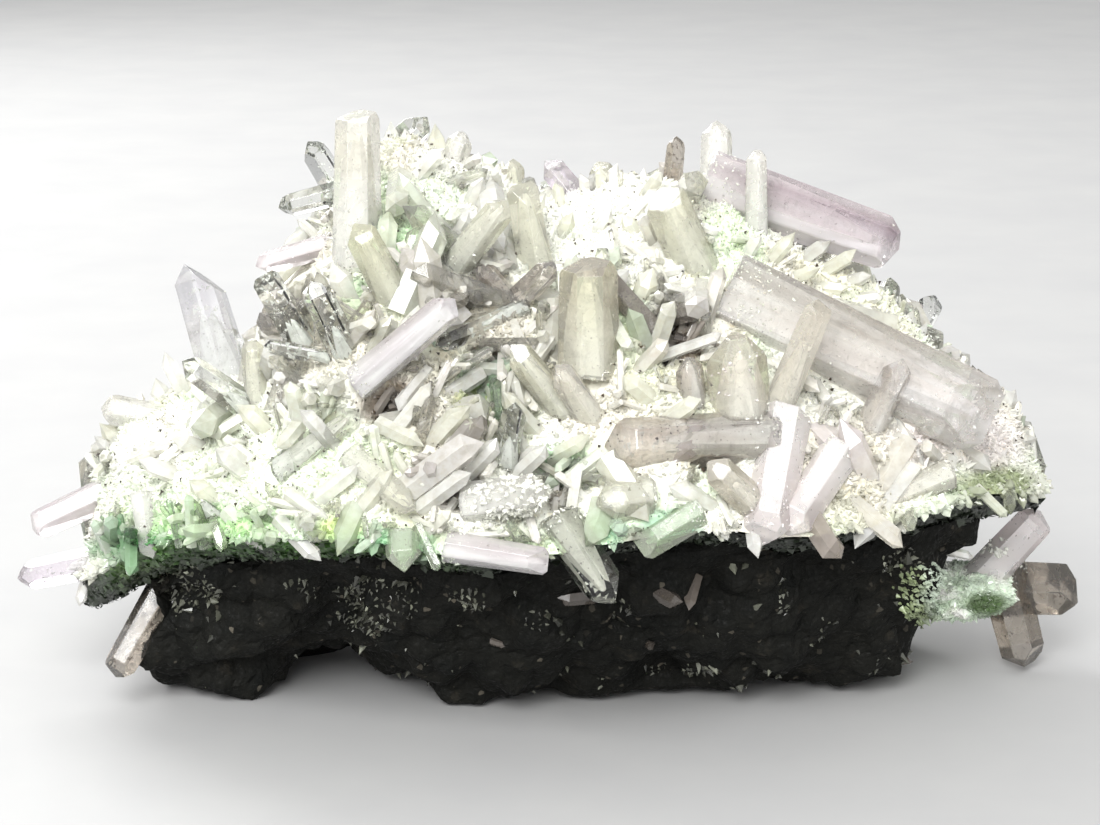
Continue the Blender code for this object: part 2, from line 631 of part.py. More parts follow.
def carve(obj, hole):
    """Cuts a socket. Where two sockets' edges fall on one another, the socket is moved by a few
    hundredths of a millimetre, well inside its clearance."""
    before = tidy(obj.data)[1]
    for nudge in ((0, 0, 0), (17, 11, -13), (-19, 13, 11), (13, -23, 17), (-29, -17, -23)):
        shift = Vector(nudge) * 1e-6
        hole.location = shift
        bpy.context.view_layer.update()
        mesh = boolean(obj, hole, "DIFFERENCE")
        closed, volume = tidy(mesh)
        if closed and 0 < volume <= before * 1.000001:
            break
        bpy.data.meshes.remove(mesh)
    else:
        print("no clean socket for", hole.name, "in", obj.name)
        return
    hole.location = (0, 0, 0)
    old = obj.data
    obj.data = mesh
    bpy.data.meshes.remove(old)
    mesh.name = obj.name


def weld(parts):
    first = parts[0]
    for other in parts[1:]:
        mesh = boolean(first, other, "UNION")
        tidy(mesh)
        old = first.data
        first.data = mesh
        bpy.data.meshes.remove(old)
        mesh.name = first.name
        bpy.data.objects.remove(other, do_unlink=True)
    return first


def drop_crumbs(bm):
    """Drops the crumbs that neighbouring sockets leave between them."""
    seen, groups = set(), []
    for v in bm.verts:
        if v in seen:
            continue
        group, stack = [], [v]
        seen.add(v)
        while stack:
            w = stack.pop()
            group.append(w)
            for e in w.link_edges:
                o = e.other_vert(w)
                if o not in seen:
                    seen.add(o)
                    stack.append(o)
        groups.append(group)
    groups.sort(key=len, reverse=True)
    spare = [v for g in groups[1:] for v in g]
    if spare:
        bmesh.ops.delete(bm, geom=spare, context="VERTS")


main()
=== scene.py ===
import math

import bmesh
import bpy
import numpy as np
from mathutils import Matrix, Vector, noise


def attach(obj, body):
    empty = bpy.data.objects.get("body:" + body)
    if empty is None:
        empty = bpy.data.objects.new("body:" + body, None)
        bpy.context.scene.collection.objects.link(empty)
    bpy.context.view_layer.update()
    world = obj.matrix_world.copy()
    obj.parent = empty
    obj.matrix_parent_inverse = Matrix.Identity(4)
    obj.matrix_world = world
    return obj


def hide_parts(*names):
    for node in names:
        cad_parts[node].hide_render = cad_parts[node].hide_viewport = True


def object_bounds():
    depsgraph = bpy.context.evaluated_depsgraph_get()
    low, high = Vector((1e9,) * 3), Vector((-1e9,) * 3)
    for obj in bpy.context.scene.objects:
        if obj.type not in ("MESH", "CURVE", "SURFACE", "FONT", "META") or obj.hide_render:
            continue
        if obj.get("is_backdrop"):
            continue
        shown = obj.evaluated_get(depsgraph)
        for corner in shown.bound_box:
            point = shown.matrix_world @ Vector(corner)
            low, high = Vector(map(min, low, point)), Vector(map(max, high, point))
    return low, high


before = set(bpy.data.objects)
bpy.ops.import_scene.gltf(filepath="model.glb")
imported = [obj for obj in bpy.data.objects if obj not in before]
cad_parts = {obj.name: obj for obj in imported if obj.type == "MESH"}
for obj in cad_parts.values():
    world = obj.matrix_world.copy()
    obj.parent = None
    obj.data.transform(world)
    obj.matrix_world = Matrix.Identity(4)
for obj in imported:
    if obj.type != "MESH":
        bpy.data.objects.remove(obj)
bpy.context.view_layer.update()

# All lengths below are millimetres in the frame of the front drawing. MOVED is where the middle of
# the footprint lies in it.
MM = 0.001
MOVED = Vector((0.974, 4.484, 0.0))
GAP = 0.3
COLUMNS = 15
SEAM_INSET = math.cos(math.pi / (COLUMNS - 1))
UNDER_DIP = 3.0
ROOT_COVER = 3.0
rng = np.random.default_rng(4107)

# ------------------------------------------------------------------- the shape, as the CAD has it
STATIONS = [
    (-69.0, -1.5, 21.0, -6.5, 17.5, 3.5, 17.5),
    (-67.0, -1.0, 33.0, -10.0, 18.0, 8.0, 19.0),
    (-62.5, 0.0, 40.8, -17.5, 22.0, 16.5, 22.0),
    (-58.0, 1.0, 42.8, -22.0, 26.0, 21.5, 25.0),
    (-51.0, 2.0, 44.7, -27.0, 29.5, 27.0, 28.0),
    (-45.0, 3.0, 46.2, -31.0, 31.0, 31.0, 29.5),
    (-40.5, 4.5, 55.0, -34.0, 31.5, 34.0, 30.0),
    (-36.0, 5.5, 64.3, -36.0, 32.0, 36.5, 30.0),
    (-29.5, 6.0, 75.2, -38.5, 32.5, 39.5, 30.0),
    (-24.5, 6.3, 80.0, -39.5, 33.0, 41.0, 30.0),
    (-19.0, 6.5, 80.5, -40.5, 32.0, 42.0, 30.0),
    (-12.5, 7.0, 76.0, -41.0, 31.0, 43.0, 30.0),
    (-5.5, 8.0, 73.2, -41.5, 31.0, 43.5, 30.0),
    (1.5, 9.0, 70.9, -41.5, 31.5, 43.5, 30.0),
    (9.0, 9.0, 73.2, -40.5, 33.0, 43.0, 30.5),
    (19.0, 8.5, 73.9, -39.0, 34.0, 41.5, 31.0),
    (25.0, 8.0, 71.8, -38.0, 33.5, 40.5, 31.5),
    (31.0, 7.5, 68.6, -37.0, 32.3, 39.0, 31.5),
    (38.0, 7.0, 63.5, -34.5, 31.8, 36.5, 31.5),
    (45.0, 6.5, 60.5, -31.5, 32.5, 33.5, 31.5),
    (51.0, 6.0, 56.5, -28.0, 33.5, 30.0, 32.0),
    (57.0, 5.0, 49.6, -23.5, 34.0, 26.0, 32.0),
    (63.0, 4.0, 43.6, -18.5, 33.0, 21.0, 31.5),
    (68.5, 3.0, 40.5, -12.5, 31.5, 14.5, 31.0),
    (71.4, 2.5, 35.5, -6.0, 30.5, 8.5, 30.0),
    (72.8, 2.0, 31.5, -2.5, 29.0, 6.0, 29.0),
]


def blend(x, column):
    if x <= STATIONS[0][0]:
        return STATIONS[0][column]
    for low, high in zip(STATIONS, STATIONS[1:]):
        if x <= high[0]:
            t = (x - low[0]) / (high[0] - low[0])
            return low[column] + (high[column] - low[column]) * t
    return STATIONS[-1][column]


def lumps(x, y, size, seed):
    p = Vector((x / size + seed * 7.31, y / size - seed * 3.17, seed * 1.93))
    return noise.noise(p) + 0.5 * noise.noise(p * 2.1)


def rims(x):
    front, ridge, back = blend(x, 3), blend(x, 1), blend(x, 5)
    full = min(1.0, (back - front) / 40)
    return (front + full * 1.3 * lumps(x, 60, 9.0, 6), ridge,
            back + full * 2.4 * lumps(x, 160, 13.0, 7))


def across(x, t):
    front, ridge, back = rims(x)
    return ridge + (ridge - front) * t if t < 0 else ridge + (back - ridge) * t


def share(x, y):
    front, ridge, back = rims(x)
    if y < ridge:
        return (y - ridge) / max(ridge - front, 1e-3)
    return (y - ridge) / max(back - ridge, 1e-3)


def rim_height(x, t):
    return blend(x, 4) + (blend(x, 6) - blend(x, 4)) * (t + 1) / 2


def crust_top(x, t):
    s = min(abs(t), 1.0)
    low = rim_height(x, t)
    high = blend(x, 2)
    hump = (1 - s ** 1.55) ** 0.72
    y = across(x, t)
    uneven = 1.5 * lumps(x, y, 11.0, 1) + 0.7 * lumps(x, y, 4.5, 2)
    if y > blend(x, 1):
        uneven += 2.5 * lumps(x, y, 18.0, 8) * min(1.0, (y - blend(x, 1)) / 12)
    return low + (high - low) * hump + uneven * (1 - s ** 8) * min(1.0, (high - low) / 14)


def crust_under(x, t):
    s = min(abs(t), 1.0)
    rise = min(1.0, (blend(x, 2) - rim_height(x, 0)) / 18)
    return rim_height(x, t) - UNDER_DIP * (1 - s ** 3) * rise - 0.3 * (1 - s ** 6)


def seam_thickness(x):
    left = math.exp(-((x + 50) / 16) ** 2)
    mid = math.exp(-((x + 20) / 14) ** 2)
    right = math.exp(-((x - 60) / 14) ** 2)
    return 2.4 + 2.6 * left + 1.4 * mid + 0.8 * right


def seam_top(x, t):
    return crust_under(x, t) - GAP


def seam_under(x, t):
    s = min(abs(t) / SEAM_INSET, 1.0)
    y = across(x, t)
    body = seam_thickness(x) * (1 - s ** 5) * (1 + 0.12 * lumps(x, y, 7.0, 3))
    return crust_under(x, t) - GAP - max(body, 0.0)


# ------------------------------------------------------------------------------- the front drawing
ELEV = math.radians(14.5)
VIEW_DISTANCE = 378.0
VIEW_HEIGHT = 40.0
VIEW_SCALE = 2597.0
VIEW_CENTRE = (550.0, 412.5)
VIEW_FORWARD = Vector((0, math.cos(ELEV), -math.sin(ELEV)))
VIEW_UP = Vector((0, math.sin(ELEV), math.cos(ELEV)))
VIEW_RIGHT = Vector((1, 0, 0))
VIEW_EYE = Vector((0, 0, VIEW_HEIGHT)) - VIEW_FORWARD * VIEW_DISTANCE


def sight(u, v):
    return (VIEW_FORWARD + VIEW_RIGHT * ((u - VIEW_CENTRE[0]) / VIEW_SCALE)
            + VIEW_UP * ((VIEW_CENTRE[1] - v) / VIEW_SCALE))


def at_depth(u, v, depth):
    return VIEW_EYE + sight(u, v) * depth


def at_plane(u, v, y):
    d = sight(u, v)
    return VIEW_EYE + d * ((y - VIEW_EYE.y) / d.y)


def under_cover(p, cover):
    if not STATIONS[0][0] < p.x < STATIONS[-1][0]:
        return False
    t = share(p.x, p.y)
    if abs(t) >= 1:
        return False
    return crust_under(p.x, t) < p.z < crust_top(p.x, t) - cover


def on_crust(u, v, cover):
    for share_of_cover in (1.0, 0.6, 0.3, 0.0):
        for step in range(700):
            p = at_depth(u, v, VIEW_DISTANCE - 60 + step * 0.2)
            if under_cover(p, cover * share_of_cover):
                return p
    p = at_plane(u, v, 0.0)
    return at_plane(u, v, blend(p.x, 1))


def on_drawing(points):
    """Drawing coordinates (u, v) of an array of points, and their distance."""
    rel = points - np.array(VIEW_EYE)
    depth = rel @ np.array(VIEW_FORWARD)
    u = VIEW_CENTRE[0] + VIEW_SCALE * (rel @ np.array(VIEW_RIGHT)) / depth
    v = VIEW_CENTRE[1] - VIEW_SCALE * (rel @ np.array(VIEW_UP)) / depth
    return u, v, depth


# ------------------------------------------------------------------------------------ the crystals
POINT_SLOPE = math.radians(51.8)
TIPS = {
    "point": ((0.00, -0.10, 0.03, -0.14, 0.01, -0.06), 0.02, None),
    "blunt": ((0.05, -0.05, 0.02, -0.06, 0.03, -0.02), 0.26, (20, 25, 0.05)),
    "post": ((0.03, -0.04, 0.02, -0.04, 0.04, 0.00), 0.38, (16, -40, 0.06)),
    "left": ((-0.06, 0.20, -0.04, -0.02, -0.05, -0.02), 0.16, None),
    "chisel": ((0.10, -0.10, -0.10, 0.10, -0.12, -0.10), 0.08, None),
    "round": ((0.05, 0.02, 0.06, 0.03, 0.05, 0.02), 0.22, (12, 0, 0.02)),
    "break": ((-0.30, -0.10, -0.25, 0.02, -0.20, -0.05), 0.05, (24, 140, 0.10)),
}
CLEAR, SAGE, BEIGE, PINK, LILAC, MILK, SMOKE, GREEN = (
    "clear", "sage", "beige", "pink", "lilac", "milky", "smoky", "green")

# node, finish, foot u, foot v, tip u, tip v, width, lean, depth of the foot, root, roll, style
FRONT = [
    ("tall_post", BEIGE, 358, 245, 358, 111, 48, 8, None, 4, 4, "post"),
    ("peak_side_points", CLEAR, 338, 190, 308, 141, 30, 0, 8, 4, 20, "point"),
    ("peak_side_points", CLEAR, 336, 193, 278, 208, 25, 6, 7, 4, 40, "point"),
    ("brow_crystal", PINK, 324, 246, 255, 266, 25, 14, None, 4, 10, "point"),
    ("blunt_sage", SAGE, 393, 295, 357, 227, 36, 26, None, 3, 12, "blunt"),
    ("top_lying", CLEAR, 380, 164, 428, 117, 32, 0, 15, 3, 30, "point"),
    ("peak_milky_point", MILK, 448, 178, 463, 132, 28, 10, 8, 4, 0, "round"),
    ("saddle_sage_point", SAGE, 512, 205, 513, 158, 25, 6, 10, 4, 15, "point"),
    ("saddle_lavender", LILAC, 582, 206, 545, 161, 31, -10, 15, 4, 25, "point"),
    ("viewer_blunt", MILK, 455, 266, 504, 205, 32, 40, None, 0, 8, "blunt"),
    ("translucent_sage", SAGE, 537, 268, 521, 180, 39, 10, None, 4, 30, "chisel"),
    ("centre_pillar", BEIGE, 588, 372, 588, 260, 60, 8, None, 1, 2, "post"),
    ("brown_fan", BEIGE, 512, 306, 554, 264, 28, 26, None, 4, 20, "round"),
    ("brown_fan", BEIGE, 511, 306, 479, 266, 28, 18, None, 4, 14, "round"),
    ("brown_fan", CLEAR, 502, 318, 435, 346, 27, 30, None, 4, 8, "point"),
    ("smoky_top_point", SMOKE, 672, 184, 677, 136, 20, 4, 11, 4, 8, "point"),
    ("top_right_point", MILK, 716, 188, 717, 120, 33, -2, 17, 5, 5, "point"),
    ("big_pink", PINK, 706, 181, 898, 248, 60, 4, 9, 0.5, 5, "blunt"),
    ("white_finger", MILK, 757, 240, 757, 150, 25, 15, None, 3, 28, "round"),
    ("blunt_sage_right", SAGE, 695, 266, 663, 194, 47, 24, None, 2, 6, "post"),
    ("big_white_left", CLEAR, 226, 376, 193, 264, 52, 2, 5, 4, 26, "left"),
    ("wing_pair", CLEAR, 250, 408, 182, 360, 28, 18, None, 3, 10, "point"),
    ("wing_pair", SAGE, 258, 398, 252, 339, 26, 12, None, 3, 0, "round"),
    ("left_fan", CLEAR, 308, 350, 262, 272, 33, 8, None, 5, 22, "chisel"),
    ("left_fan", CLEAR, 346, 352, 311, 280, 33, 22, None, 5, 5, "point"),
    ("left_fan", CLEAR, 332, 359, 264, 345, 17, 14, None, 4, 15, "point"),
    ("long_diagonal", MILK, 359, 384, 453, 303, 36, 20, None, 0.3, 18, "blunt"),
    ("left_sage_point", SAGE, 300, 457, 360, 409, 32, 20, None, 4, 8, "point"),
    ("lower_long_pale", SAGE, 354, 458, 415, 511, 30, 22, None, 1, 28, "point"),
    ("wing_end_block", MILK, 150, 418, 103, 407, 33, 12, 0, 4, 12, "blunt"),
    ("twin_front", SAGE, 566, 412, 511, 344, 32, 26, None, 4, 10, "point"),
    ("twin_front", BEIGE, 592, 418, 555, 364, 32, 28, None, 2, 24, "point"),
    ("centre_slim_clear", CLEAR, 506, 460, 516, 402, 26, 20, None, 1, 5, "point"),
    ("hub_cluster", LILAC, 768, 438, 610, 444, 54, 16, None, 1, 8, "blunt"),
    ("hub_cluster", BEIGE, 776, 412, 821, 304, 35, 20, None, 4, 26, "blunt"),
    ("hub_cluster", PINK, 780, 438, 763, 539, 52, 26, None, 4, 4, "blunt"),
    ("hub_cluster", PINK, 822, 476, 785, 533, 44, 30, None, 5, 14, "round"),
    ("hub_cluster", BEIGE, 762, 512, 710, 463, 35, 30, None, 4, 8, "round"),
    ("long_slope", PINK, 728, 296, 1000, 424, 86, 6, None, 1, 2, "chisel"),
    ("long_slope", BEIGE, 738, 292, 721, 331, 30, 46, None, 4, 10, "round"),
    ("hub_cluster", BEIGE, 741, 410, 736, 334, 62, 16, None, 2, 4, "round"),
    ("slope_brown_stub", BEIGE, 693, 400, 689, 358, 30, 22, None, 1, 16, "round"),
    ("long_slope", BEIGE, 872, 424, 904, 358, 32, 22, None, 4, 8, "point"),
    ("slope_top_point", CLEAR, 884, 322, 891, 277, 24, 6, 10, 4, 5, "point"),
    ("slope_end_block", CLEAR, 928, 372, 932, 328, 29, 6, 8, 4, 26, "blunt"),
    ("rim_clear", CLEAR, 222, 522, 276, 555, 19, 18, None, 4, 10, "point"),
    ("dark_green_hex", GREEN, 403, 540, 404, 573, 36, 30, None, 1, 5, "point"),
    ("lower_lying", MILK, 460, 549, 551, 563, 31, 14, None, 2, 10, "chisel"),
    ("glassy_dark", SMOKE, 568, 534, 615, 604, 44, 16, None, 3, 12, "point"),
    ("white_lump", MILK, 478, 502, 548, 492, 42, 20, None, 2, 6, "round"),
    ("pale_chunk", SAGE, 644, 496, 598, 503, 44, 24, None, 1, 12, "round"),
    ("lower_pale_green", GREEN, 688, 518, 636, 550, 34, 14, None, 2, 18, "chisel"),
    ("lower_right_lying", BEIGE, 926, 484, 811, 537, 29, 14, None, 4, 10, "point"),
    ("edge_small_right", CLEAR, 948, 486, 1012, 484, 19, 2, -14, 4, 12, "point"),
    ("pink_white_left", PINK, 110, 492, 32, 528, 34, 4, -4, 4, 14, "blunt"),
    ("lavender_left", LILAC, 96, 562, 17, 578, 32, 4, -6, 4, 2, "point"),
    ("rim_white", MILK, 147, 520, 153, 559, 29, 28, None, 4, 20, "point"),
    ("smoky_lower_left", SMOKE, 158, 600, 115, 675, 35, 12, -12, 4, 8, "blunt"),
    ("right_lump_crystals", PINK, 978, 582, 1042, 514, 40, 4, 0, 3, 5, "blunt"),
    ("right_lump_crystals", SMOKE, 996, 588, 1078, 590, 60, 0, 6, 3, 26, "break"),
    ("right_lump_crystals", SMOKE, 1004, 580, 1026, 666, 46, 0, 4, 3, 10, "break"),
]

# node, finish, x, share of the way to the rim, length, width, tilt to +X, tilt down, roll, style
BACK = [
    ("back_tall_clear", CLEAR, -27, 0.42, 19, 5.4, -14, 34, 8, "point"),
    ("back_white_pair", MILK, -6, 0.50, 16, 6.0, 12, 46, 14, "chisel"),
    ("back_sage", SAGE, 12, 0.46, 18, 5.2, -18, 38, 0, "point"),
    ("back_big_lying", PINK, 34, 0.60, 24, 7.4, 50, 62, 10, "blunt"),
    ("back_left_point", CLEAR, -46, 0.55, 15, 4.8, -30, 48, 20, "point"),
    ("back_low_lying", BEIGE, -20, 0.80, 20, 5.6, -48, 78, 5, "point"),
    ("back_low_milky", MILK, 4, 0.84, 15, 6.2, 20, 82, 18, "round"),
    ("back_right_point", CLEAR, 53, 0.55, 14, 4.6, 36, 44, 28, "point"),
]

# Smaller crystals of the front drawing, too small for pieces of their own in the CAD:
# finish, foot u, foot v, tip u, tip v, width, lean, depth of the foot (None: on the crust)
SMALL = [
    (CLEAR, 300, 236, 283, 247, 12, 10, None), (CLEAR, 312, 232, 297, 219, 10, 8, None),
    (CLEAR, 391, 150, 390, 121, 17, 6, 9), (SAGE, 440, 160, 431, 124, 22, 10, 9),
    (CLEAR, 408, 158, 406, 128, 17, 12, 9), (MILK, 420, 176, 444, 148, 16, 16, None),
    (MILK, 585, 196, 583, 173, 12, 8, 11), (SAGE, 601, 192, 600, 165, 12, 8, 11),
    (MILK, 613, 192, 615, 163, 13, 8, 11), (SAGE, 628, 192, 633, 170, 12, 8, 11),
    (SAGE, 560, 200, 556, 182, 11, 14, None), (MILK, 642, 190, 646, 168, 12, 6, 11),
    (CLEAR, 184, 394, 163, 352, 17, 10, 3), (MILK, 166, 402, 152, 380, 18, 10, 3),
    (SAGE, 122, 440, 98, 425, 18, 10, 0), (CLEAR, 118, 452, 93, 437, 15, 12, 0),
    (CLEAR, 346, 290, 332, 262, 25, 22, None), (SAGE, 372, 350, 390, 314, 14, 22, None),
    (CLEAR, 668, 354, 722, 335, 12, 16, None), (CLEAR, 1000, 420, 1013, 388, 18, 8, 6),
    (CLEAR, 938, 549, 974, 557, 10, 6, -12), (SAGE, 640, 300, 652, 268, 22, 24, None),
    (GREEN, 642, 338, 630, 306, 22, 24, None), (SAGE, 660, 336, 672, 300, 20, 20, None),
    (MILK, 606, 300, 628, 268, 18, 18, None), (SAGE, 300, 262, 276, 286, 18, 16, None),
    (PINK, 838, 442, 806, 430, 28, 24, None), (PINK, 862, 466, 842, 420, 30, 26, None),
    (BEIGE, 900, 452, 872, 500, 26, 24, None), (CLEAR, 905, 478, 853, 548, 22, 22, None),
    (BEIGE, 860, 510, 905, 546, 20, 20, None), (SMOKE, 812, 520, 838, 560, 26, 20, None),
    (CLEAR, 948, 470, 941, 500, 15, 24, None), (CLEAR, 752, 520, 757, 558, 16, 20, None),
    (SAGE, 616, 470, 648, 520, 30, 24, None), (GREEN, 600, 516, 590, 552, 28, 26, None),
    (SAGE, 535, 430, 500, 392, 20, 26, None), (CLEAR, 470, 470, 500, 440, 18, 24, None),
    (SAGE, 438, 436, 470, 402, 22, 24, None), (MILK, 430, 500, 470, 470, 20, 20, None),
    (CLEAR, 330, 440, 300, 408, 18, 24, None), (SAGE, 268, 430, 238, 402, 20, 24, None),
    (MILK, 246, 470, 216, 446, 24, 24, None), (MILK, 206, 452, 172, 436, 20, 22, None),
    (CLEAR, 176, 476, 138, 462, 18, 20, None), (SAGE, 214, 500, 190, 478, 20, 22, None),
    (MILK, 330, 490, 362, 466, 20, 22, None), (CLEAR, 300, 500, 330, 522, 16, 20, None),
    (CLEAR, 288, 528, 320, 562, 18, 20, None), (BEIGE, 268, 540, 300, 577, 20, 14, None),
    (MILK, 236, 520, 262, 548, 18, 24, None), (CLEAR, 88, 575, 78, 606, 12, 8, -8),
    (SAGE, 370, 498, 392, 470, 18, 22, None), (GREEN, 352, 520, 336, 556, 26, 24, None),
    (MILK, 522, 470, 548, 446, 20, 26, None), (SAGE, 560, 452, 590, 436, 18, 26, None),
    (PINK, 690, 440, 672, 466, 22, 26, None), (MILK, 700, 500, 668, 482, 22, 26, None),
    (SAGE, 650, 400, 622, 376, 22, 26, None), (SAGE, 668, 420, 700, 398, 18, 24, None),
    (BEIGE, 642, 368, 668, 340, 18, 24, None), (CLEAR, 470, 380, 440, 400, 18, 24, None),
    (CLEAR, 420, 380, 396, 410, 16, 24, None), (SAGE, 390, 430, 424, 446, 18, 22, None),
    (MILK, 470, 210, 482, 176, 18, 14, None), (CLEAR, 452, 240, 470, 212, 14, 20, None),
    (SAGE, 640, 240, 622, 214, 16, 20, None), (MILK, 596, 236, 612, 208, 16, 20, None),
    (SAGE, 560, 240, 572, 212, 16, 20, None), (SAGE, 770, 262, 796, 232, 16, 20, None),
    (MILK, 800, 262, 830, 240, 16, 18, None), (SAGE, 824, 272, 858, 252, 15, 18, None),
    (MILK, 838, 284, 872, 276, 14, 18, None), (SAGE, 812, 286, 850, 290, 14, 18, None),
    (CLEAR, 852, 300, 884, 296, 14, 16, None), (MILK, 900, 338, 912, 310, 16, 12, 8),
    (CLEAR, 912, 352, 926, 322, 14, 12, 8), (SAGE, 790, 280, 822, 268, 14, 22, None),
    (MILK, 744, 262, 760, 234, 14, 22, None), (CLEAR, 960, 398, 978, 372, 16, 10, 8),
    (MILK, 984, 430, 1020, 412, 20, 12, 2), (CLEAR, 1010, 444, 1038, 440, 20, 10, 0),
    (PINK, 930, 420, 962, 446, 24, 26, None), (MILK, 960, 452, 994, 468, 22, 22, None),
    (MILK, 1000, 466, 1030, 480, 20, 14, -4), (CLEAR, 900, 430, 924, 466, 18, 24, None),
]

UNEVEN = [1.0, 0.93, 1.05, 0.97, 1.04, 0.92]


def crystal_frame(root, tip):
    axis = (tip - root).normalized()
    toward = -VIEW_FORWARD
    side = toward - axis * toward.dot(axis)
    if side.length < 0.2:
        side = VIEW_UP - axis * VIEW_UP.dot(axis)
    side.normalize()
    m = Matrix((side, axis.cross(side), axis)).transposed().to_4x4()
    m.translation = root
    return m


def crystal_block(length, width, roll, style, shrink=0.0):
    """One crystal in its own axes, cut from a block by its own faces."""
    a = width * 0.45
    block = bmesh.new()
    bmesh.ops.create_cube(block, size=1.0)
    bmesh.ops.scale(block, vec=(width * 3, width * 3, length * 2 + width * 4), verts=block.verts)
    bmesh.ops.translate(block, vec=(0, 0, length / 2), verts=block.verts)
    planes = []
    lean = math.radians(1.2)
    for k in range(6):
        phi = math.radians(60 * k + roll)
        reach = a * UNEVEN[(k + int(abs(roll))) % 6]
        n = Vector((math.cos(phi) * math.cos(lean), math.sin(phi) * math.cos(lean), math.sin(lean)))
        planes.append((n, reach + length * 0.35 * math.sin(lean)))
    drops, extra, facet = TIPS[style]
    for k in range(6):
        phi = math.radians(60 * k + roll)
        n = Vector((math.cos(phi) * math.sin(POINT_SLOPE), math.sin(phi) * math.sin(POINT_SLOPE),
                    math.cos(POINT_SLOPE)))
        planes.append((n, (length + extra * width) * math.cos(POINT_SLOPE) - drops[k] * width))
    if facet:
        slope, phi = math.radians(facet[0]), math.radians(facet[1])
        n = Vector((math.cos(phi) * math.sin(slope), math.sin(phi) * math.sin(slope),
                    math.cos(slope)))
        planes.append((n, (length - facet[2] * width) * n.z))
    planes.append((Vector((0.12, -0.08, -1.0)).normalized(), 0.0))
    for n, reach in planes:
        cut = bmesh.ops.bisect_plane(block, geom=block.verts[:] + block.edges[:] + block.faces[:],
                                     dist=1e-4, plane_co=n * (reach - shrink), plane_no=n,
                                     clear_outer=True)
        if any(isinstance(e, bmesh.types.BMEdge) for e in cut["geom_cut"]):
            bmesh.ops.holes_fill(block, edges=[e for e in block.edges if e.is_boundary], sides=0)
        bmesh.ops.remove_doubles(block, verts=block.verts, dist=0.01)
    bmesh.ops.dissolve_limit(block, angle_limit=math.radians(0.3), verts=block.verts,
                             edges=block.edges)
    bmesh.ops.recalc_face_normals(block, faces=block.faces)
    return block


def place_front(row):
    node, finish_, fu, fv, tu, tv, width, lean, depth, root, roll, style = row
    foot = on_crust(fu, fv, ROOT_COVER) if depth is None else at_plane(fu, fv, depth)
    away = (foot - VIEW_EYE).dot(VIEW_FORWARD)
    run = math.hypot(tu - fu, tv - fv) * away / VIEW_SCALE
    tip = at_depth(tu, tv, away - run * math.tan(math.radians(lean)))
    back = foot - (tip - foot).normalized() * root
    return back, tip, width * away / VIEW_SCALE, roll, style


def place_back(row):
    node, finish_, x, t, length, width, sideways, down, roll, style = row
    y = across(x, t)
    foot = Vector((x, y, crust_top(x, t) - ROOT_COVER - 2))
    lean = Vector((math.tan(math.radians(sideways)), math.copysign(math.tan(math.radians(down)), t),
                   1.0)).normalized()
    return foot - lean * 3, foot + lean * length, width, roll, style


# --------------------------------------------------------------------------------------- materials
def new_material(name):
    mat = bpy.data.materials.new(name)
    mat.use_nodes = True
    tree = mat.node_tree
    return mat, tree, tree.nodes["Principled BSDF"]


def add(tree, kind, inputs=None, **settings):
    node = tree.nodes.new(kind)
    for key, value in settings.items():
        setattr(node, key, value)
    for key, value in (inputs or {}).items():
        if hasattr(value, "is_output") or isinstance(value, bpy.types.NodeSocket):
            tree.links.new(value, node.inputs[key])
        else:
            node.inputs[key].default_value = value
    return node


def ramp(tree, fac, stops, interpolation="LINEAR"):
    node = add(tree, "ShaderNodeValToRGB", {0: fac})
    node.color_ramp.interpolation = interpolation
    marks = node.color_ramp.elements
    while len(marks) > len(stops):
        marks.remove(marks[-1])
    while len(marks) < len(stops):
        marks.new(0.5)
    for mark, (place, colour) in zip(marks, stops):
        mark.position = place
        mark.color = (*colour, 1.0) if len(colour) == 3 else colour
    return node.outputs[0]


def coords(tree, scale):
    space = add(tree, "ShaderNodeTexCoord")
    return add(tree, "ShaderNodeMapping", {0: space.outputs["Object"], 3: scale}).outputs[0]


def mix(tree, kind, fac, a, b):
    node = add(tree, "ShaderNodeMix", data_type="RGBA", blend_type=kind)
    for socket, value in ((node.inputs[0], fac), (node.inputs[6], a), (node.inputs[7], b)):
        if isinstance(value, bpy.types.NodeSocket):
            tree.links.new(value, socket)
        else:
            socket.default_value = value if not isinstance(value, tuple) else (*value[:3], 1.0)
    return node.outputs[2]


def noise_at(tree, scale, detail=3.0, rough=0.6, vector=None, distortion=0.0):
    where = vector if vector is not None else coords(tree, (1, 1, 1))
    return add(tree, "ShaderNodeTexNoise", {"Vector": where, "Scale": scale, "Detail": detail,
               "Roughness": rough, "Distortion": distortion}).outputs[0]


def bump(tree, heights, shader):
    """Chains (height, strength, distance) into the shader's normal."""
    last = None
    for height, strength, distance in heights:
        node = add(tree, "ShaderNodeBump", {"Height": height, "Strength": strength,
                                            "Distance": distance})
        if last is not None:
            tree.links.new(last, node.inputs["Normal"])
        last = node.outputs[0]
    tree.links.new(last, shader.inputs["Normal"])


def tint_of(tree):
    return add(tree, "ShaderNodeAttribute", attribute_name="tint").outputs["Color"]


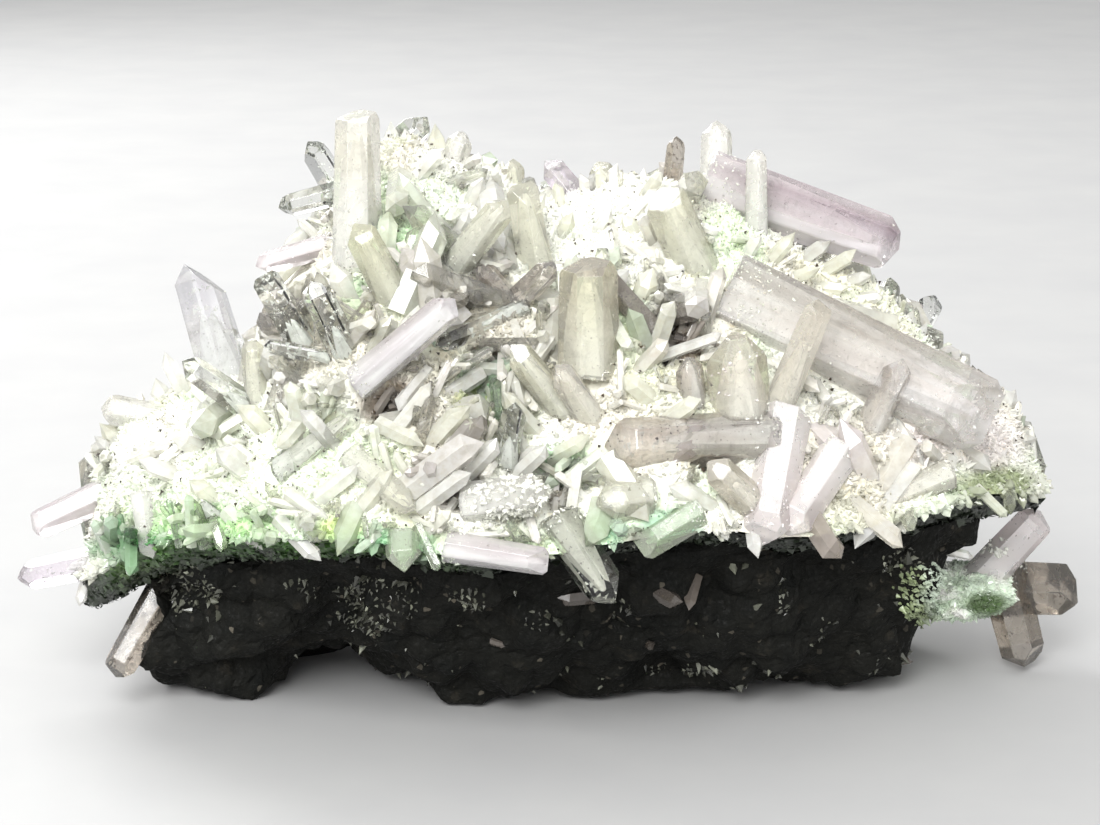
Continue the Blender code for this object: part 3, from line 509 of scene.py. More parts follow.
def quartz(name, colour, murk, polish, frost, transmission, absorb=None, density=0.0, streaks=None):
    """Quartz with growth lines across its prism, frosty patches, veils of murk and specks, and in
    some crystals streaks along it."""
    mat, tree, shader = new_material("quartz_" + name)
    cloud = noise_at(tree, 300.0, 2.5, 0.65, distortion=0.5)
    veil = ramp(tree, cloud, [(0.36, colour), (0.55, tuple(0.5 * c + 0.5 * m for c, m in
                zip(colour, murk))), (0.72, murk)])
    specks = ramp(tree, noise_at(tree, 2300.0, 2.0, 0.5), [(0.27, (0.10, 0.08, 0.06)),
                                                           (0.31, (1, 1, 1))])
    # facet carries each face's tone: the crystal's colour bands and pale root, with painted light and painted shade by
    # the way each face is turned
    facet = add(tree, "ShaderNodeAttribute", attribute_name="facet").outputs["Color"]
    tone = mix(tree, "MULTIPLY", 0.8, veil, specks)
    if streaks:
        run = noise_at(tree, 1.0, 2.0, 0.6, coords(tree, (620, 620, 55)), distortion=0.3)
        tone = mix(tree, "MULTIPLY", 1.0, tone, ramp(tree, run, [(0.44, (1, 1, 1)), (0.62, streaks)]))
    tree.links.new(mix(tree, "MULTIPLY", 1.0, tone, facet), shader.inputs["Base Color"])
    rough = add(tree, "ShaderNodeMapRange", {0: cloud, 1: 0.40, 2: 0.66, 3: polish, 4: frost})
    tree.links.new(rough.outputs[0], shader.inputs["Roughness"])
    bump(tree, [(noise_at(tree, 1.0, 1.0, 0.5, coords(tree, (150, 150, 2400))), 0.25, 0.00005)], shader)
    shader.inputs["IOR"].default_value = 1.544
    shader.inputs["Transmission Weight"].default_value = transmission
    if density:
        fog = tree.nodes.new("ShaderNodeVolumeAbsorption")
        fog.inputs["Color"].default_value = (*absorb, 1.0)
        fog.inputs["Density"].default_value = density
        out = next(n for n in tree.nodes if n.type == "OUTPUT_MATERIAL")
        tree.links.new(fog.outputs[0], out.inputs["Volume"])
    mat.diffuse_color = (*colour, 1.0)
    return mat


BRIGHT, ROSE, ASH, BLUSH, STREAKED = "bright", "rose", "ash", "blush", "streaked"
QUARTZ = {
    CLEAR: quartz("clear", (0.99, 0.99, 0.98), (0.95, 0.95, 0.93), 0.02, 0.10, 1.0,
                  (0.86, 0.90, 0.84), 20.0),
    SAGE: quartz("sage", (0.96, 0.955, 0.88), (0.90, 0.89, 0.80), 0.10, 0.32, 0.78,
                 (0.86, 0.85, 0.74), 45.0),
    BEIGE: quartz("beige", (0.96, 0.94, 0.88), (0.91, 0.88, 0.80), 0.10, 0.32, 0.78,
                  (0.83, 0.78, 0.68), 60.0),
    PINK: quartz("pink", (1.0, 0.98, 0.98), (0.95, 0.915, 0.92), 0.05, 0.28, 0.70,
                 (0.96, 0.93, 0.935), 14.0, (0.90, 0.865, 0.875)),
    LILAC: quartz("lilac", (0.98, 0.96, 0.97), (0.90, 0.86, 0.90), 0.05, 0.22, 0.88,
                  (0.82, 0.76, 0.84), 45.0),
    MILK: quartz("milky", (0.985, 0.975, 0.945), (0.95, 0.94, 0.90), 0.14, 0.40, 0.72,
                 (0.92, 0.92, 0.86), 30.0),
    SMOKE: quartz("smoky", (0.88, 0.85, 0.79), (0.70, 0.65, 0.58), 0.12, 0.36, 0.95,
                  (0.55, 0.49, 0.42), 85.0),
    GREEN: quartz("green", (0.88, 0.91, 0.80), (0.68, 0.75, 0.58), 0.12, 0.36, 0.76,
                  (0.66, 0.76, 0.54), 70.0),
    BRIGHT: quartz("bright", (1.0, 1.0, 1.0), (0.97, 0.965, 0.965), 0.02, 0.08, 0.74,
                   (0.94, 0.94, 0.93), 12.0, (0.86, 0.85, 0.87)),
    ASH: quartz("ash", (0.975, 0.965, 0.95), (0.86, 0.835, 0.81), 0.03, 0.20, 0.90,
                (0.86, 0.82, 0.79), 28.0, (0.80, 0.77, 0.75)),
    BLUSH: quartz("blush", (0.99, 0.965, 0.96), (0.95, 0.90, 0.88), 0.24, 0.55, 0.62,
                  (0.95, 0.90, 0.90), 20.0),
    STREAKED: quartz("streaked", (1.0, 0.995, 0.995), (0.96, 0.94, 0.945), 0.04, 0.18, 0.68,
                     (0.94, 0.91, 0.92), 14.0, (0.80, 0.77, 0.79)),
    ROSE: quartz("rose", (1.0, 0.99, 0.98), (0.86, 0.835, 0.80), 0.10, 0.36, 0.74,
                 (0.93, 0.90, 0.87), 18.0, (0.88, 0.85, 0.83)),
}


def core_material():
    """The milky, dusty inside of a crystal: clouded, cracked across, with dark specks."""
    mat, tree, shader = new_material("quartz_core")
    cloud = ramp(tree, noise_at(tree, 520.0, 3.0, 0.7, distortion=0.8), [(0.30, (0.72, 0.72, 0.70)),
                 (0.50, (1.0, 1.0, 1.0)), (0.72, (1.12, 1.12, 1.12))])
    tone = mix(tree, "MULTIPLY", 1.0, tint_of(tree), cloud)
    specks = ramp(tree, noise_at(tree, 2500.0, 2.0, 0.5), [(0.28, (0.12, 0.09, 0.06)),
                                                           (0.32, (1, 1, 1))])
    tree.links.new(mix(tree, "MULTIPLY", 0.8, tone, specks), shader.inputs["Base Color"])
    bump(tree, [(noise_at(tree, 1500.0, 2.0), 0.5, 0.0002)], shader)
    shader.inputs["Roughness"].default_value = 0.55
    shader.inputs["Transmission Weight"].default_value = 0.12
    return mat


def points_material(name, transmission):
    """The small quartz points: each has its own tint, from water clear to milky and green."""
    mat, tree, shader = new_material(name)
    patches = noise_at(tree, 900.0, 2.0)
    cloud = ramp(tree, patches, [(0.35, (1, 1, 1)), (0.75, (0.82, 0.80, 0.74))])
    tree.links.new(mix(tree, "MULTIPLY", 1.0, tint_of(tree), cloud), shader.inputs["Base Color"])
    rough = add(tree, "ShaderNodeMapRange", {0: patches, 1: 0.3, 2: 0.8, 3: 0.04, 4: 0.22})
    tree.links.new(rough.outputs[0], shader.inputs["Roughness"])
    shader.inputs["IOR"].default_value = 1.544
    shader.inputs["Transmission Weight"].default_value = transmission
    return mat


def grains_material():
    """The smallest points: sugary white to green, glassy enough to glitter."""
    mat, tree, shader = new_material("druse_points")
    patches = noise_at(tree, 1300.0, 2.0)
    cloud = ramp(tree, patches, [(0.32, (1.05, 1.05, 1.05)), (0.70, (0.76, 0.755, 0.71))])
    tree.links.new(mix(tree, "MULTIPLY", 1.0, tint_of(tree), cloud), shader.inputs["Base Color"])
    rough = add(tree, "ShaderNodeMapRange", {0: patches, 1: 0.3, 2: 0.75, 3: 0.08, 4: 0.35})
    tree.links.new(rough.outputs[0], shader.inputs["Roughness"])
    shader.inputs["IOR"].default_value = 1.544
    shader.inputs["Transmission Weight"].default_value = 0.12
    return mat


def druse_material(name="druse"):
    """Sugary quartz: tightly packed grains that glitter, dusty in places."""
    mat, tree, shader = new_material(name)
    grain = add(tree, "ShaderNodeTexVoronoi", {"Vector": coords(tree, (1, 1, 1)), "Scale": 1500.0})
    shade = ramp(tree, grain.outputs["Color"], [(0.0, (0.72, 0.72, 0.68)), (1.0, (1.08, 1.08, 1.06))])
    tone = mix(tree, "MULTIPLY", 1.0, tint_of(tree), shade)
    dust = ramp(tree, noise_at(tree, 340.0, 3.0, 0.7), [(0.52, (1, 1, 1)), (0.66, (0.78, 0.72, 0.62))])
    tone = mix(tree, "MULTIPLY", 0.8, tone, dust)
    specks = ramp(tree, noise_at(tree, 2600.0, 2.0, 0.5), [(0.26, (0.05, 0.04, 0.03)),
                                                           (0.30, (1, 1, 1))])
    tree.links.new(mix(tree, "MULTIPLY", 0.9, tone, specks), shader.inputs["Base Color"])
    rough = add(tree, "ShaderNodeMapRange", {0: grain.outputs["Distance"], 1: 0.0, 2: 0.6, 3: 0.2,
                                             4: 0.6})
    tree.links.new(rough.outputs[0], shader.inputs["Roughness"])
    bump(tree, [(noise_at(tree, 900.0, 2.0), 0.6, 0.0004)], shader)
    shader.inputs["IOR"].default_value = 1.544
    return mat


def mica_material():
    """Fuchsite: green mica, satin, in thin leaves."""
    mat, tree, shader = new_material("fuchsite")
    leaves = noise_at(tree, 1.0, 4.0, 0.6, coords(tree, (260, 260, 1500)))
    shade = ramp(tree, leaves, [(0.25, (0.45, 0.5, 0.42)), (0.5, (0.95, 1.0, 0.92)),
                                (0.75, (1.35, 1.35, 1.25))])
    tone = mix(tree, "MULTIPLY", 1.0, tint_of(tree), shade)
    tree.links.new(tone, shader.inputs["Base Color"])
    rough = add(tree, "ShaderNodeMapRange", {0: leaves, 1: 0.3, 2: 0.7, 3: 0.28, 4: 0.55})
    tree.links.new(rough.outputs[0], shader.inputs["Roughness"])
    bump(tree, [(leaves, 0.5, 0.0003)], shader)
    shader.inputs["Specular IOR Level"].default_value = 0.7
    return mat


def rock_material():
    """Schist with brown-grey grains that glitter, coloured near black: painted shade for the base, which lies in
    shadow.
    """
    mat, tree, shader = new_material("host_rock")
    body = ramp(tree, noise_at(tree, 160.0, 4.0, 0.7), [(0.3, (0.003, 0.0035, 0.003)),
                (0.60, (0.008, 0.008, 0.0065)), (0.82, (0.035, 0.030, 0.022))])
    grain = add(tree, "ShaderNodeTexVoronoi", {"Vector": coords(tree, (1, 1, 1)), "Scale": 1400.0})
    sparkle = ramp(tree, grain.outputs["Color"], [(0.90, (0, 0, 0)), (0.97, (0.13, 0.115, 0.09))])
    tree.links.new(mix(tree, "ADD", 0.7, body, sparkle), shader.inputs["Base Color"])
    rough = add(tree, "ShaderNodeMapRange", {0: grain.outputs["Distance"], 1: 0.0, 2: 0.6, 3: 0.3,
                                             4: 0.75})
    tree.links.new(rough.outputs[0], shader.inputs["Roughness"])
    bump(tree, [(noise_at(tree, 420.0, 4.0, 0.7), 0.8, 0.0009)], shader)
    shader.inputs["Specular IOR Level"].default_value = 0.12
    return mat


def grit_material():
    """Dark mineral grains and bits of dry plant on the druse."""
    mat, tree, shader = new_material("dark_grit")
    body = ramp(tree, noise_at(tree, 900.0, 3.0), [(0.3, (0.010, 0.009, 0.008)),
                                                   (0.8, (0.085, 0.055, 0.032))])
    tree.links.new(body, shader.inputs["Base Color"])
    shader.inputs["Roughness"].default_value = 0.55
    bump(tree, [(noise_at(tree, 2600.0, 2.0), 0.4, 0.0001)], shader)
    return mat


POINTS = points_material("quartz_points", 0.42)
BLOCKS = points_material("quartz_points_large", 0.60)
GLASSY = points_material("quartz_points_clear", 0.90)
GRAINS = grains_material()
CORE = core_material()
DRUSE = druse_material()
MICA = mica_material()
ROCK = rock_material()
GRIT = grit_material()


# ------------------------------------------------------------------------------------ mesh helpers
def place(obj, slot, *nodes):
    if obj.name not in bpy.context.scene.collection.objects:
        bpy.context.scene.collection.objects.link(obj)
    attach(obj, "root")
    if nodes:
        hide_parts(*nodes)
    return obj


def mesh_from(name, verts, faces, material, slot, nodes=(), tint=None):
    """An object from millimetre points. faces is a list of lists, or an array of triangles."""
    verts = np.asarray(verts, float)
    mesh = bpy.data.meshes.new(name)
    mesh.from_pydata(((verts - np.array(MOVED)) * MM).tolist(), [],
                     faces.tolist() if isinstance(faces, np.ndarray) else faces)
    mesh.update()
    if tint is not None:
        layer = mesh.color_attributes.new("tint", "FLOAT_COLOR", "POINT")
        rgba = np.ones((len(verts), 4), np.float32)
        rgba[:, :3] = tint
        layer.data.foreach_set("color", rgba.ravel())
    mesh.materials.append(material)
    return place(bpy.data.objects.new(name, mesh), slot, *nodes)


def spikes(feet, axes, widths, lengths, roots, rolls=None, ragged=0.12, taper=0.10, tip=(0.45, 0.85)):
    """Six-sided points as arrays: for each, six foot points, six shoulder points and a tip. Returns
    the points (n, 13, 3). Prism faces stay flat because all its edges run to one point."""
    n = len(feet)
    up = np.where(np.abs(axes[:, 2:3]) < 0.9, [[0.0, 0.0, 1.0]], [[1.0, 0.0, 0.0]])
    u = np.cross(axes, up)
    u /= np.linalg.norm(u, axis=1, keepdims=True)
    v = np.cross(axes, u)
    rolls = rng.uniform(0, math.pi / 3, n) if rolls is None else rolls
    angle = rolls[:, None] + np.arange(6) * math.pi / 3 + rng.uniform(-0.09, 0.09, (n, 6))
    reach = widths[:, None] * 0.5 * (1 + rng.uniform(-ragged, ragged, (n, 6)))
    ring = (np.cos(angle) * reach)[:, :, None] * u[:, None] + (np.sin(angle) * reach)[:, :, None] * v[:, None]
    head = widths * rng.uniform(*tip, n)
    body = np.maximum(lengths - head, 0.15 * lengths)
    high = body[:, None] + widths[:, None] * rng.uniform(-0.20, 0.20, (n, 6))
    high = np.maximum(high, 0.1 * lengths[:, None])
    start = feet - axes * roots[:, None]
    low = start[:, None] + ring
    span = (high + roots[:, None]) / (lengths + roots)[:, None]
    shoulder = start[:, None] + ring * (1 - taper * span)[:, :, None] \
        + axes[:, None] * (high + roots[:, None])[:, :, None]
    off = rng.uniform(-0.22, 0.22, (n, 2)) * widths[:, None]
    apex = feet + axes * lengths[:, None] + u * off[:, :1] + v * off[:, 1:]
    return np.concatenate([low, shoulder, apex[:, None]], axis=1)


def pyramids(feet, axes, widths, lengths, roots):
    """Six-sided pyramids as an array of points (n, 7, 3): the tips of crystals that stand so close
    that only their upper faces show."""
    full = spikes(feet, axes, widths, lengths, roots, ragged=0.2, taper=0.0)
    return full[:, [0, 1, 2, 3, 4, 5, 12]]


def pyramid_piece(name, points, colours, slot, material):
    count = len(points)
    o = 7 * np.arange(count)[:, None, None]
    sides = np.array([(k, (k + 1) % 6, 6) for k in range(6)] + [(0, 5, 4), (0, 4, 3), (0, 3, 2), (0, 2, 1)])
    # the six foot corners are 20% darker than the tip: painted shade at the foot of each grain, between the grains
    shade = np.ones((7, 1))
    shade[:6] = 0.80
    tint = (colours[:, None] * shade[None]).reshape(-1, 3)
    return mesh_from(name, points.reshape(-1, 3), (o + sides[None]).reshape(-1, 3), material, slot, tint=tint)


RING = [[k, (k + 1) % 6, 6 + (k + 1) % 6, 6 + k] for k in range(6)] \
    + [[6 + k, 6 + (k + 1) % 6, 12] for k in range(6)] + [[5, 4, 3, 2, 1, 0]]


def spike_faces(count):
    out = []
    for i in range(count):
        o = 13 * i
        out.extend([[o + k for k in f] for f in RING])
    return out


def spike_piece(name, points, colours, slot, material=None):
    """Joins an array of points into one piece, the pale ones whiter at the root, and all a little darker at the tip."""
    white = np.zeros((13, 1))
    white[:6] = 0.45
    shade = np.ones((13, 1))
    shade[12] = 0.90
    pale = colours.mean(1, keepdims=True)[:, None] > 0.5
    tint = colours[:, None] * shade[None]
    tint = np.where(pale, tint * (1 - white[None]) + np.array((0.95, 0.96, 0.90)) * white[None], tint)
    tint = tint.reshape(-1, 3)
    return mesh_from(name, points.reshape(-1, 3), spike_faces(len(points)), material or POINTS, slot,
                     tint=tint)


# ------------------------------------------------------------------------ colours over the surface
WHITE = np.array((0.94, 0.945, 0.88))
PALE = np.array((0.76, 0.90, 0.67))
DUSTY = np.array((0.74, 0.70, 0.61))
LEAF = np.array((0.32, 0.58, 0.28))
DEEP = np.array((0.07, 0.30, 0.08))
OLIVE = np.array((0.42, 0.46, 0.22))
# painted shade for the hollows and the gaps between crystals
CAVITY_SHADE = np.array((0.16, 0.12, 0.09))
PINKISH = np.array((0.93, 0.86, 0.86))
STRAW = np.array((0.99, 0.98, 0.84))

# Patches on the front drawing: centre u, v, half width, half height, colour, strength
# the CAVITY_SHADE patches are painted shade in the hollows and between the crystals
PATCHES = [
    (450, 400, 110, 66, DUSTY * 0.70, 0.8), (640, 400, 90, 70, DUSTY * 1.0, 0.5),
    (470, 480, 120, 50, DUSTY * 1.05, 0.5), (330, 310, 70, 60, DUSTY * 0.95, 0.6),
    (520, 220, 130, 70, (0.97, 0.98, 0.92), 0.85), (150, 460, 60, 34, WHITE, 0.7), (730, 236, 36, 30, (0.84, 0.96, 0.74), 0.9),
    (412, 244, 38, 30, (0.74, 0.96, 0.67), 0.95), (440, 200, 34, 30, (0.86, 0.96, 0.80), 0.7),
    (357, 298, 16, 22, (0.44, 0.66, 0.42), 0.9), (482, 380, 22, 32, (0.24, 0.44, 0.24), 0.95),
    (474, 402, 24, 18, OLIVE, 0.8), (566, 466, 42, 26, (0.46, 0.72, 0.46), 0.9),
    (182, 548, 90, 20, DEEP, 0.95), (200, 522, 100, 18, (0.50, 0.76, 0.38), 0.85),
    (342, 530, 28, 14, (0.50, 0.66, 0.20), 0.8), (606, 528, 20, 22, (0.34, 0.62, 0.40), 0.85),
    (668, 530, 34, 24, (0.20, 0.44, 0.28), 0.8), (995, 484, 44, 22, (0.26, 0.32, 0.14), 0.85),
    (300, 460, 110, 46, (0.86, 0.96, 0.76), 0.75), (240, 430, 60, 40, (0.94, 0.98, 0.88), 0.6),
    (836, 264, 50, 30, STRAW * 1.02, 0.95), (880, 320, 40, 40, STRAW, 0.7), (495, 500, 80, 34, (0.98, 0.98, 0.95), 0.8),
    (480, 310, 70, 42, DUSTY * 0.86, 0.9), (670, 332, 34, 34, CAVITY_SHADE * 0.8, 0.95),
    (386, 402, 34, 26, CAVITY_SHADE * 1.2, 0.9), (450, 328, 18, 14, CAVITY_SHADE * 0.5, 0.9),
    (488, 352, 20, 14, CAVITY_SHADE * 0.5, 0.9), (524, 462, 16, 14, CAVITY_SHADE, 0.9),
    (458, 486, 28, 26, CAVITY_SHADE * 1.2, 0.85), (720, 458, 26, 10, CAVITY_SHADE * 0.8, 0.9),
    (640, 538, 12, 12, CAVITY_SHADE * 0.5, 0.8), (316, 548, 14, 12, CAVITY_SHADE * 0.5, 0.8),
    (440, 470, 20, 14, CAVITY_SHADE, 0.8), (560, 500, 14, 12, CAVITY_SHADE, 0.8), (690, 350, 20, 12, CAVITY_SHADE, 0.85),
    (850, 470, 80, 56, DUSTY * 0.90, 0.8), (960, 440, 70, 34, PINKISH, 0.8),
    (780, 300, 60, 40, DUSTY, 0.5), (620, 440, 60, 60, DUSTY * 1.05, 0.45),
    (330, 330, 60, 50, DUSTY * 1.1, 0.5), (130, 500, 50, 30, (0.80, 0.84, 0.74), 0.6),
    (385, 550, 60, 22, (0.16, 0.46, 0.20), 0.8), (505, 522, 70, 22, WHITE, 0.5),
    (820, 520, 80, 30, DUSTY * 0.9, 0.5),
]


def smooth_noise(points, size, seed):
    shift = Vector((seed * 5.3, seed * -2.7, seed * 1.9))
    return np.array([noise.noise(Vector(p) / size + shift) for p in points])


def surface_tint(points):
    """Colour of the druse at an array of points."""
    x, y, z = points.T
    ridge = np.array([blend(a, 1) for a in x])
    big = smooth_noise(points, 13.0, 1)
    mid = smooth_noise(points, 5.5, 2)
    green = np.clip((big + 0.45 * mid - 0.02) * 2.2, 0, 1)[:, None]
    dusty = np.clip((smooth_noise(points, 9.0, 3) + 0.4 * mid - 0.10) * 2.4, 0, 1)[:, None]
    tone = WHITE * (1 - green) + PALE * green
    tone = tone * (1 - 0.65 * dusty) + DUSTY * 0.65 * dusty
    rim = np.array([rim_height(a, 0.0) for a in x])
    low = np.clip((rim + 6.5 - z) / 6.5, 0, 1)[:, None]
    behind = np.clip((y - ridge - 2) / 6, 0, 1)[:, None]
    u, v, _ = on_drawing(points)
    bare = (1 / (1 + np.exp((u - 425) / 16)) / (1 + np.exp((112 - u) / 9)))[:, None]
    low = low * (bare * (1 - behind) + behind * np.clip(0.5 + 1.6 * big, 0, 1)[:, None])
    tone = tone * (1 - 0.55 * low) + LEAF * 0.55 * low
    leafy = np.clip((smooth_noise(points, 10.0, 6) - 0.18) * 4, 0, 1)[:, None] * behind
    tone = tone * (1 - 0.7 * leafy) + LEAF * 1.2 * 0.7 * leafy
    front = 1 - behind
    for pu, pv, wide, tall, colour, strength in PATCHES:
        r = ((u - pu) / wide) ** 2 + ((v - pv) / tall) ** 2
        inside = np.clip(1.35 - r + 0.5 * mid, 0, 1)[:, None] * strength * front
        tone = tone * (1 - inside) + np.array(colour) * inside
    return np.clip(tone, 0.01, 0.99)


# Hollows in the front of the druse: centre u, v, half width, half height, depth
HOLLOWS = [
    (668, 330, 24, 26, 8.0), (386, 402, 26, 22, 6.5), (450, 328, 16, 13, 6.0),
    (488, 352, 18, 12, 6.5), (524, 462, 13, 13, 5.0), (460, 486, 22, 22, 5.5),
    (720, 460, 22, 8, 4.5), (482, 382, 18, 24, 4.0), (566, 468, 30, 18, 3.0), (560, 500, 13, 10, 4.0),
    (357, 298, 14, 18, 3.0), (860, 437, 10, 8, 2.5), (790, 300, 26, 16, 2.0),
]


def hollow_depth(points):
    u, v, _ = on_drawing(points)
    x, y, _ = points.T
    ridge = np.array([blend(a, 1) for a in x])
    deep = np.zeros(len(points))
    for pu, pv, wide, tall, depth in HOLLOWS:
        r = ((u - pu) / wide) ** 2 + ((v - pv) / tall) ** 2
        deep = np.maximum(deep, depth * np.clip(1.3 - r, 0, 1))
    return deep * (y < ridge)


# ------------------------------------------------------------------------- the crust under the points
def sheet_grid(nx, nt, height, reach=1.0):
    """Points (nx, nt, 3) of a height field over the plan outline, and the shares t."""
    xs = np.linspace(STATIONS[0][0], STATIONS[-1][0], nx)
    c = np.linspace(0, math.pi, nt)
    ts = -np.cos(c) * 0.6 + 0.4 * np.linspace(-1, 1, nt)
    ts = ts / np.abs(ts).max() * reach
    grid = np.zeros((nx, nt, 3))
    for i, x in enumerate(xs):
        for j, t in enumerate(ts):
            grid[i, j] = (x, across(x, t), height(x, t))
    return grid, xs, ts


def grid_normals(grid):
    a = np.gradient(grid, axis=0)
    b = np.gradient(grid, axis=1)
    n = np.cross(a, b)
    n /= np.maximum(np.linalg.norm(n, axis=2, keepdims=True), 1e-9)
    return n


def cells(points, size, seed):
    """Distance to the nearest of scattered grain centres, 0 to about 1: rounds each grain."""
    out = np.empty(len(points))
    shift = Vector((seed * 3.1, seed * 1.7, -seed * 2.3))
    for k, p in enumerate(points):
        out[k] = noise.voronoi(Vector(p) / size + shift)[0][0]
    return out


def slab_faces(nx, nt, offset):
    """Triangles of the top and of the underside, which is given after it, joined round the rim."""
    i, j = np.meshgrid(np.arange(nx - 1), np.arange(nt - 1), indexing="ij")
    a = (i * nt + j).ravel()
    b, c, d = a + nt, a + nt + 1, a + 1
    top = np.concatenate([np.stack([a, b, c], 1), np.stack([a, c, d], 1)])
    under = top[:, ::-1] + offset
    rim = [k * nt for k in range(nx)] + [(nx - 1) * nt + k for k in range(1, nt)] \
        + [k * nt + nt - 1 for k in range(nx - 2, -1, -1)] + [k for k in range(nt - 2, 0, -1)]
    rim = np.array(rim)
    nxt = np.roll(rim, -1)
    sides = np.concatenate([np.stack([rim, rim + offset, nxt], 1),
                            np.stack([nxt, rim + offset, nxt + offset], 1)])
    return np.concatenate([top, under, sides])


NX, NT = (214, 158)
envelope, XS, TS = sheet_grid(NX, NT, crust_top)
normal = grid_normals(envelope)
under, _, _ = sheet_grid(NX, NT, crust_under)
thick = np.maximum(envelope[:, :, 2] - under[:, :, 2], 0.0)
depth = np.minimum(1.5, 0.35 * thick)
flat = envelope.reshape(-1, 3)
edge = np.clip(thick.ravel() / 5, 0, 1)
pits = hollow_depth(flat) * edge
grains = 0.45 * (0.5 - cells(flat, 1.3, 1)) + 0.7 * smooth_noise(flat, 3.2, 9)
base = flat - normal.reshape(-1, 3) * (depth.ravel() + pits - grains * edge)[:, None]
base_normal = grid_normals(base.reshape(NX, NT, 3)).reshape(-1, 3)
lower = under.reshape(-1, 3) + np.array((0, 0, 0.05))
base[:, 2] = np.maximum(base[:, 2], lower[:, 2] + 0.05)
crust_tint = surface_tint(base)
faces = slab_faces(NX, NT, NX * NT)
# the underside of the crust takes the druse colour 30% darker: painted shade under the crust
mesh_from("druse_ground", np.concatenate([base, lower]), faces, DRUSE, "quartz_druse",
          ["quartz_druse_crust"], tint=np.concatenate([crust_tint, crust_tint * 0.7]))

# ------------------------------------------------------------------------------ the large crystals
CORE_REACH = {CLEAR: 0.45, SAGE: 0.84, BEIGE: 0.86, PINK: 0.88, LILAC: 0.5, MILK: 0.92, SMOKE: 0.4,
              GREEN: 0.8}
ROOT_TINT = np.array((0.93, 0.96, 0.90))
CORE_TINT = {CLEAR: (0.95, 0.97, 0.93), SAGE: (0.91, 0.91, 0.81), BEIGE: (0.90, 0.88, 0.80),
             PINK: (0.98, 0.95, 0.95), LILAC: (0.90, 0.87, 0.93), MILK: (0.96, 0.96, 0.94),
             SMOKE: (0.26, 0.22, 0.20), GREEN: (0.36, 0.52, 0.33)}
CORE_NODE = {"hub_cluster": 0.7, "brown_fan": 0.5, "long_diagonal": 0.85, "big_white_left": 0.62, "left_fan": 0.55, "right_lump_crystals": 0.75,
             "glassy_dark": 0.8}
LOOKS = {"long_diagonal": STREAKED, "brown_fan": ASH, "slope_brown_stub": ASH, "viewer_blunt": SAGE, "left_sage_point": CLEAR,
         "big_white_left": BRIGHT, "long_slope": ROSE, "lower_lying": STREAKED, ("hub_cluster", LILAC): ASH, ("hub_cluster", PINK): BLUSH,
         ("brown_fan", CLEAR): CLEAR, "glassy_dark": CLEAR, ("right_lump_crystals", PINK): BLUSH, "tall_post": MILK}
# Face tones: LIT for faces toward the front, painted light, and SHADE for faces turned away, painted shade, over each
# crystal's own colour
LIT = {"tall_post": (1, 0.99, 0.97), "centre_pillar": (0.85, 0.885, 0.74), "blunt_sage": (0.87, 0.875, 0.775), "white_lump": (1, 1, 0.97)}
SHADE = {CLEAR: (0.84, 0.84, 0.82), SAGE: (0.79, 0.78, 0.69), BEIGE: (0.72, 0.69, 0.64),
         PINK: (0.84, 0.80, 0.81), LILAC: (0.78, 0.71, 0.78), MILK: (0.82, 0.81, 0.765),
         SMOKE: (0.60, 0.55, 0.50), GREEN: (0.68, 0.74, 0.60), BRIGHT: (0.68, 0.67, 0.70),
         ROSE: (0.76, 0.715, 0.67), ASH: (0.74, 0.70, 0.67), BLUSH: (0.88, 0.81, 0.81),
         STREAKED: (0.80, 0.77, 0.78)}
# crystals that lie across, with colour bands along them and, on most, painted light on their lower faces that stands in
# for reflections: height on the drawing from -1, the lower edge, to 1, the upper edge, and the tone there
BAND_AND_LIGHT_STOPS = {
    "big_pink": [(-1.0, (1, 1, 1)), (-0.35, (1, 0.995, 0.995)), (0.1, (0.84, 0.77, 0.79)),
                 (0.42, (0.40, 0.33, 0.37)), (0.62, (0.58, 0.51, 0.54)), (1.0, (0.92, 0.88, 0.89))],
    ("long_slope", PINK): [(-1.0, (1, 0.99, 0.985)), (-0.4, (1, 0.99, 0.98)), (0.15, (0.96, 0.94, 0.92)),
                           (0.52, (0.66, 0.635, 0.59)), (1.0, (0.80, 0.775, 0.73))],
    "long_diagonal": [(-1.0, (1, 1, 1)), (-0.1, (1, 0.995, 0.995)), (0.35, (0.90, 0.87, 0.88)),
                      (0.74, (0.76, 0.73, 0.71)), (1.0, (0.86, 0.84, 0.80))],
    ("hub_cluster", LILAC): [(-1.0, (0.84, 0.81, 0.77)), (-0.4, (0.97, 0.95, 0.925)), (0.1, (0.88, 0.85, 0.84)),
                             (0.5, (0.66, 0.615, 0.63)), (1.0, (0.95, 0.93, 0.92))],
    "lower_lying": [(-1.0, (1, 1, 1)), (0.0, (0.98, 0.965, 0.96)), (0.5, (0.80, 0.755, 0.75)),
                    (1.0, (0.96, 0.94, 0.93))],
}


def band_and_light_tone(stops, height):
    heights = [stop[0] for stop in stops]
    return np.array([np.interp(height, heights, [stop[1][k] for stop in stops]) for k in range(3)])



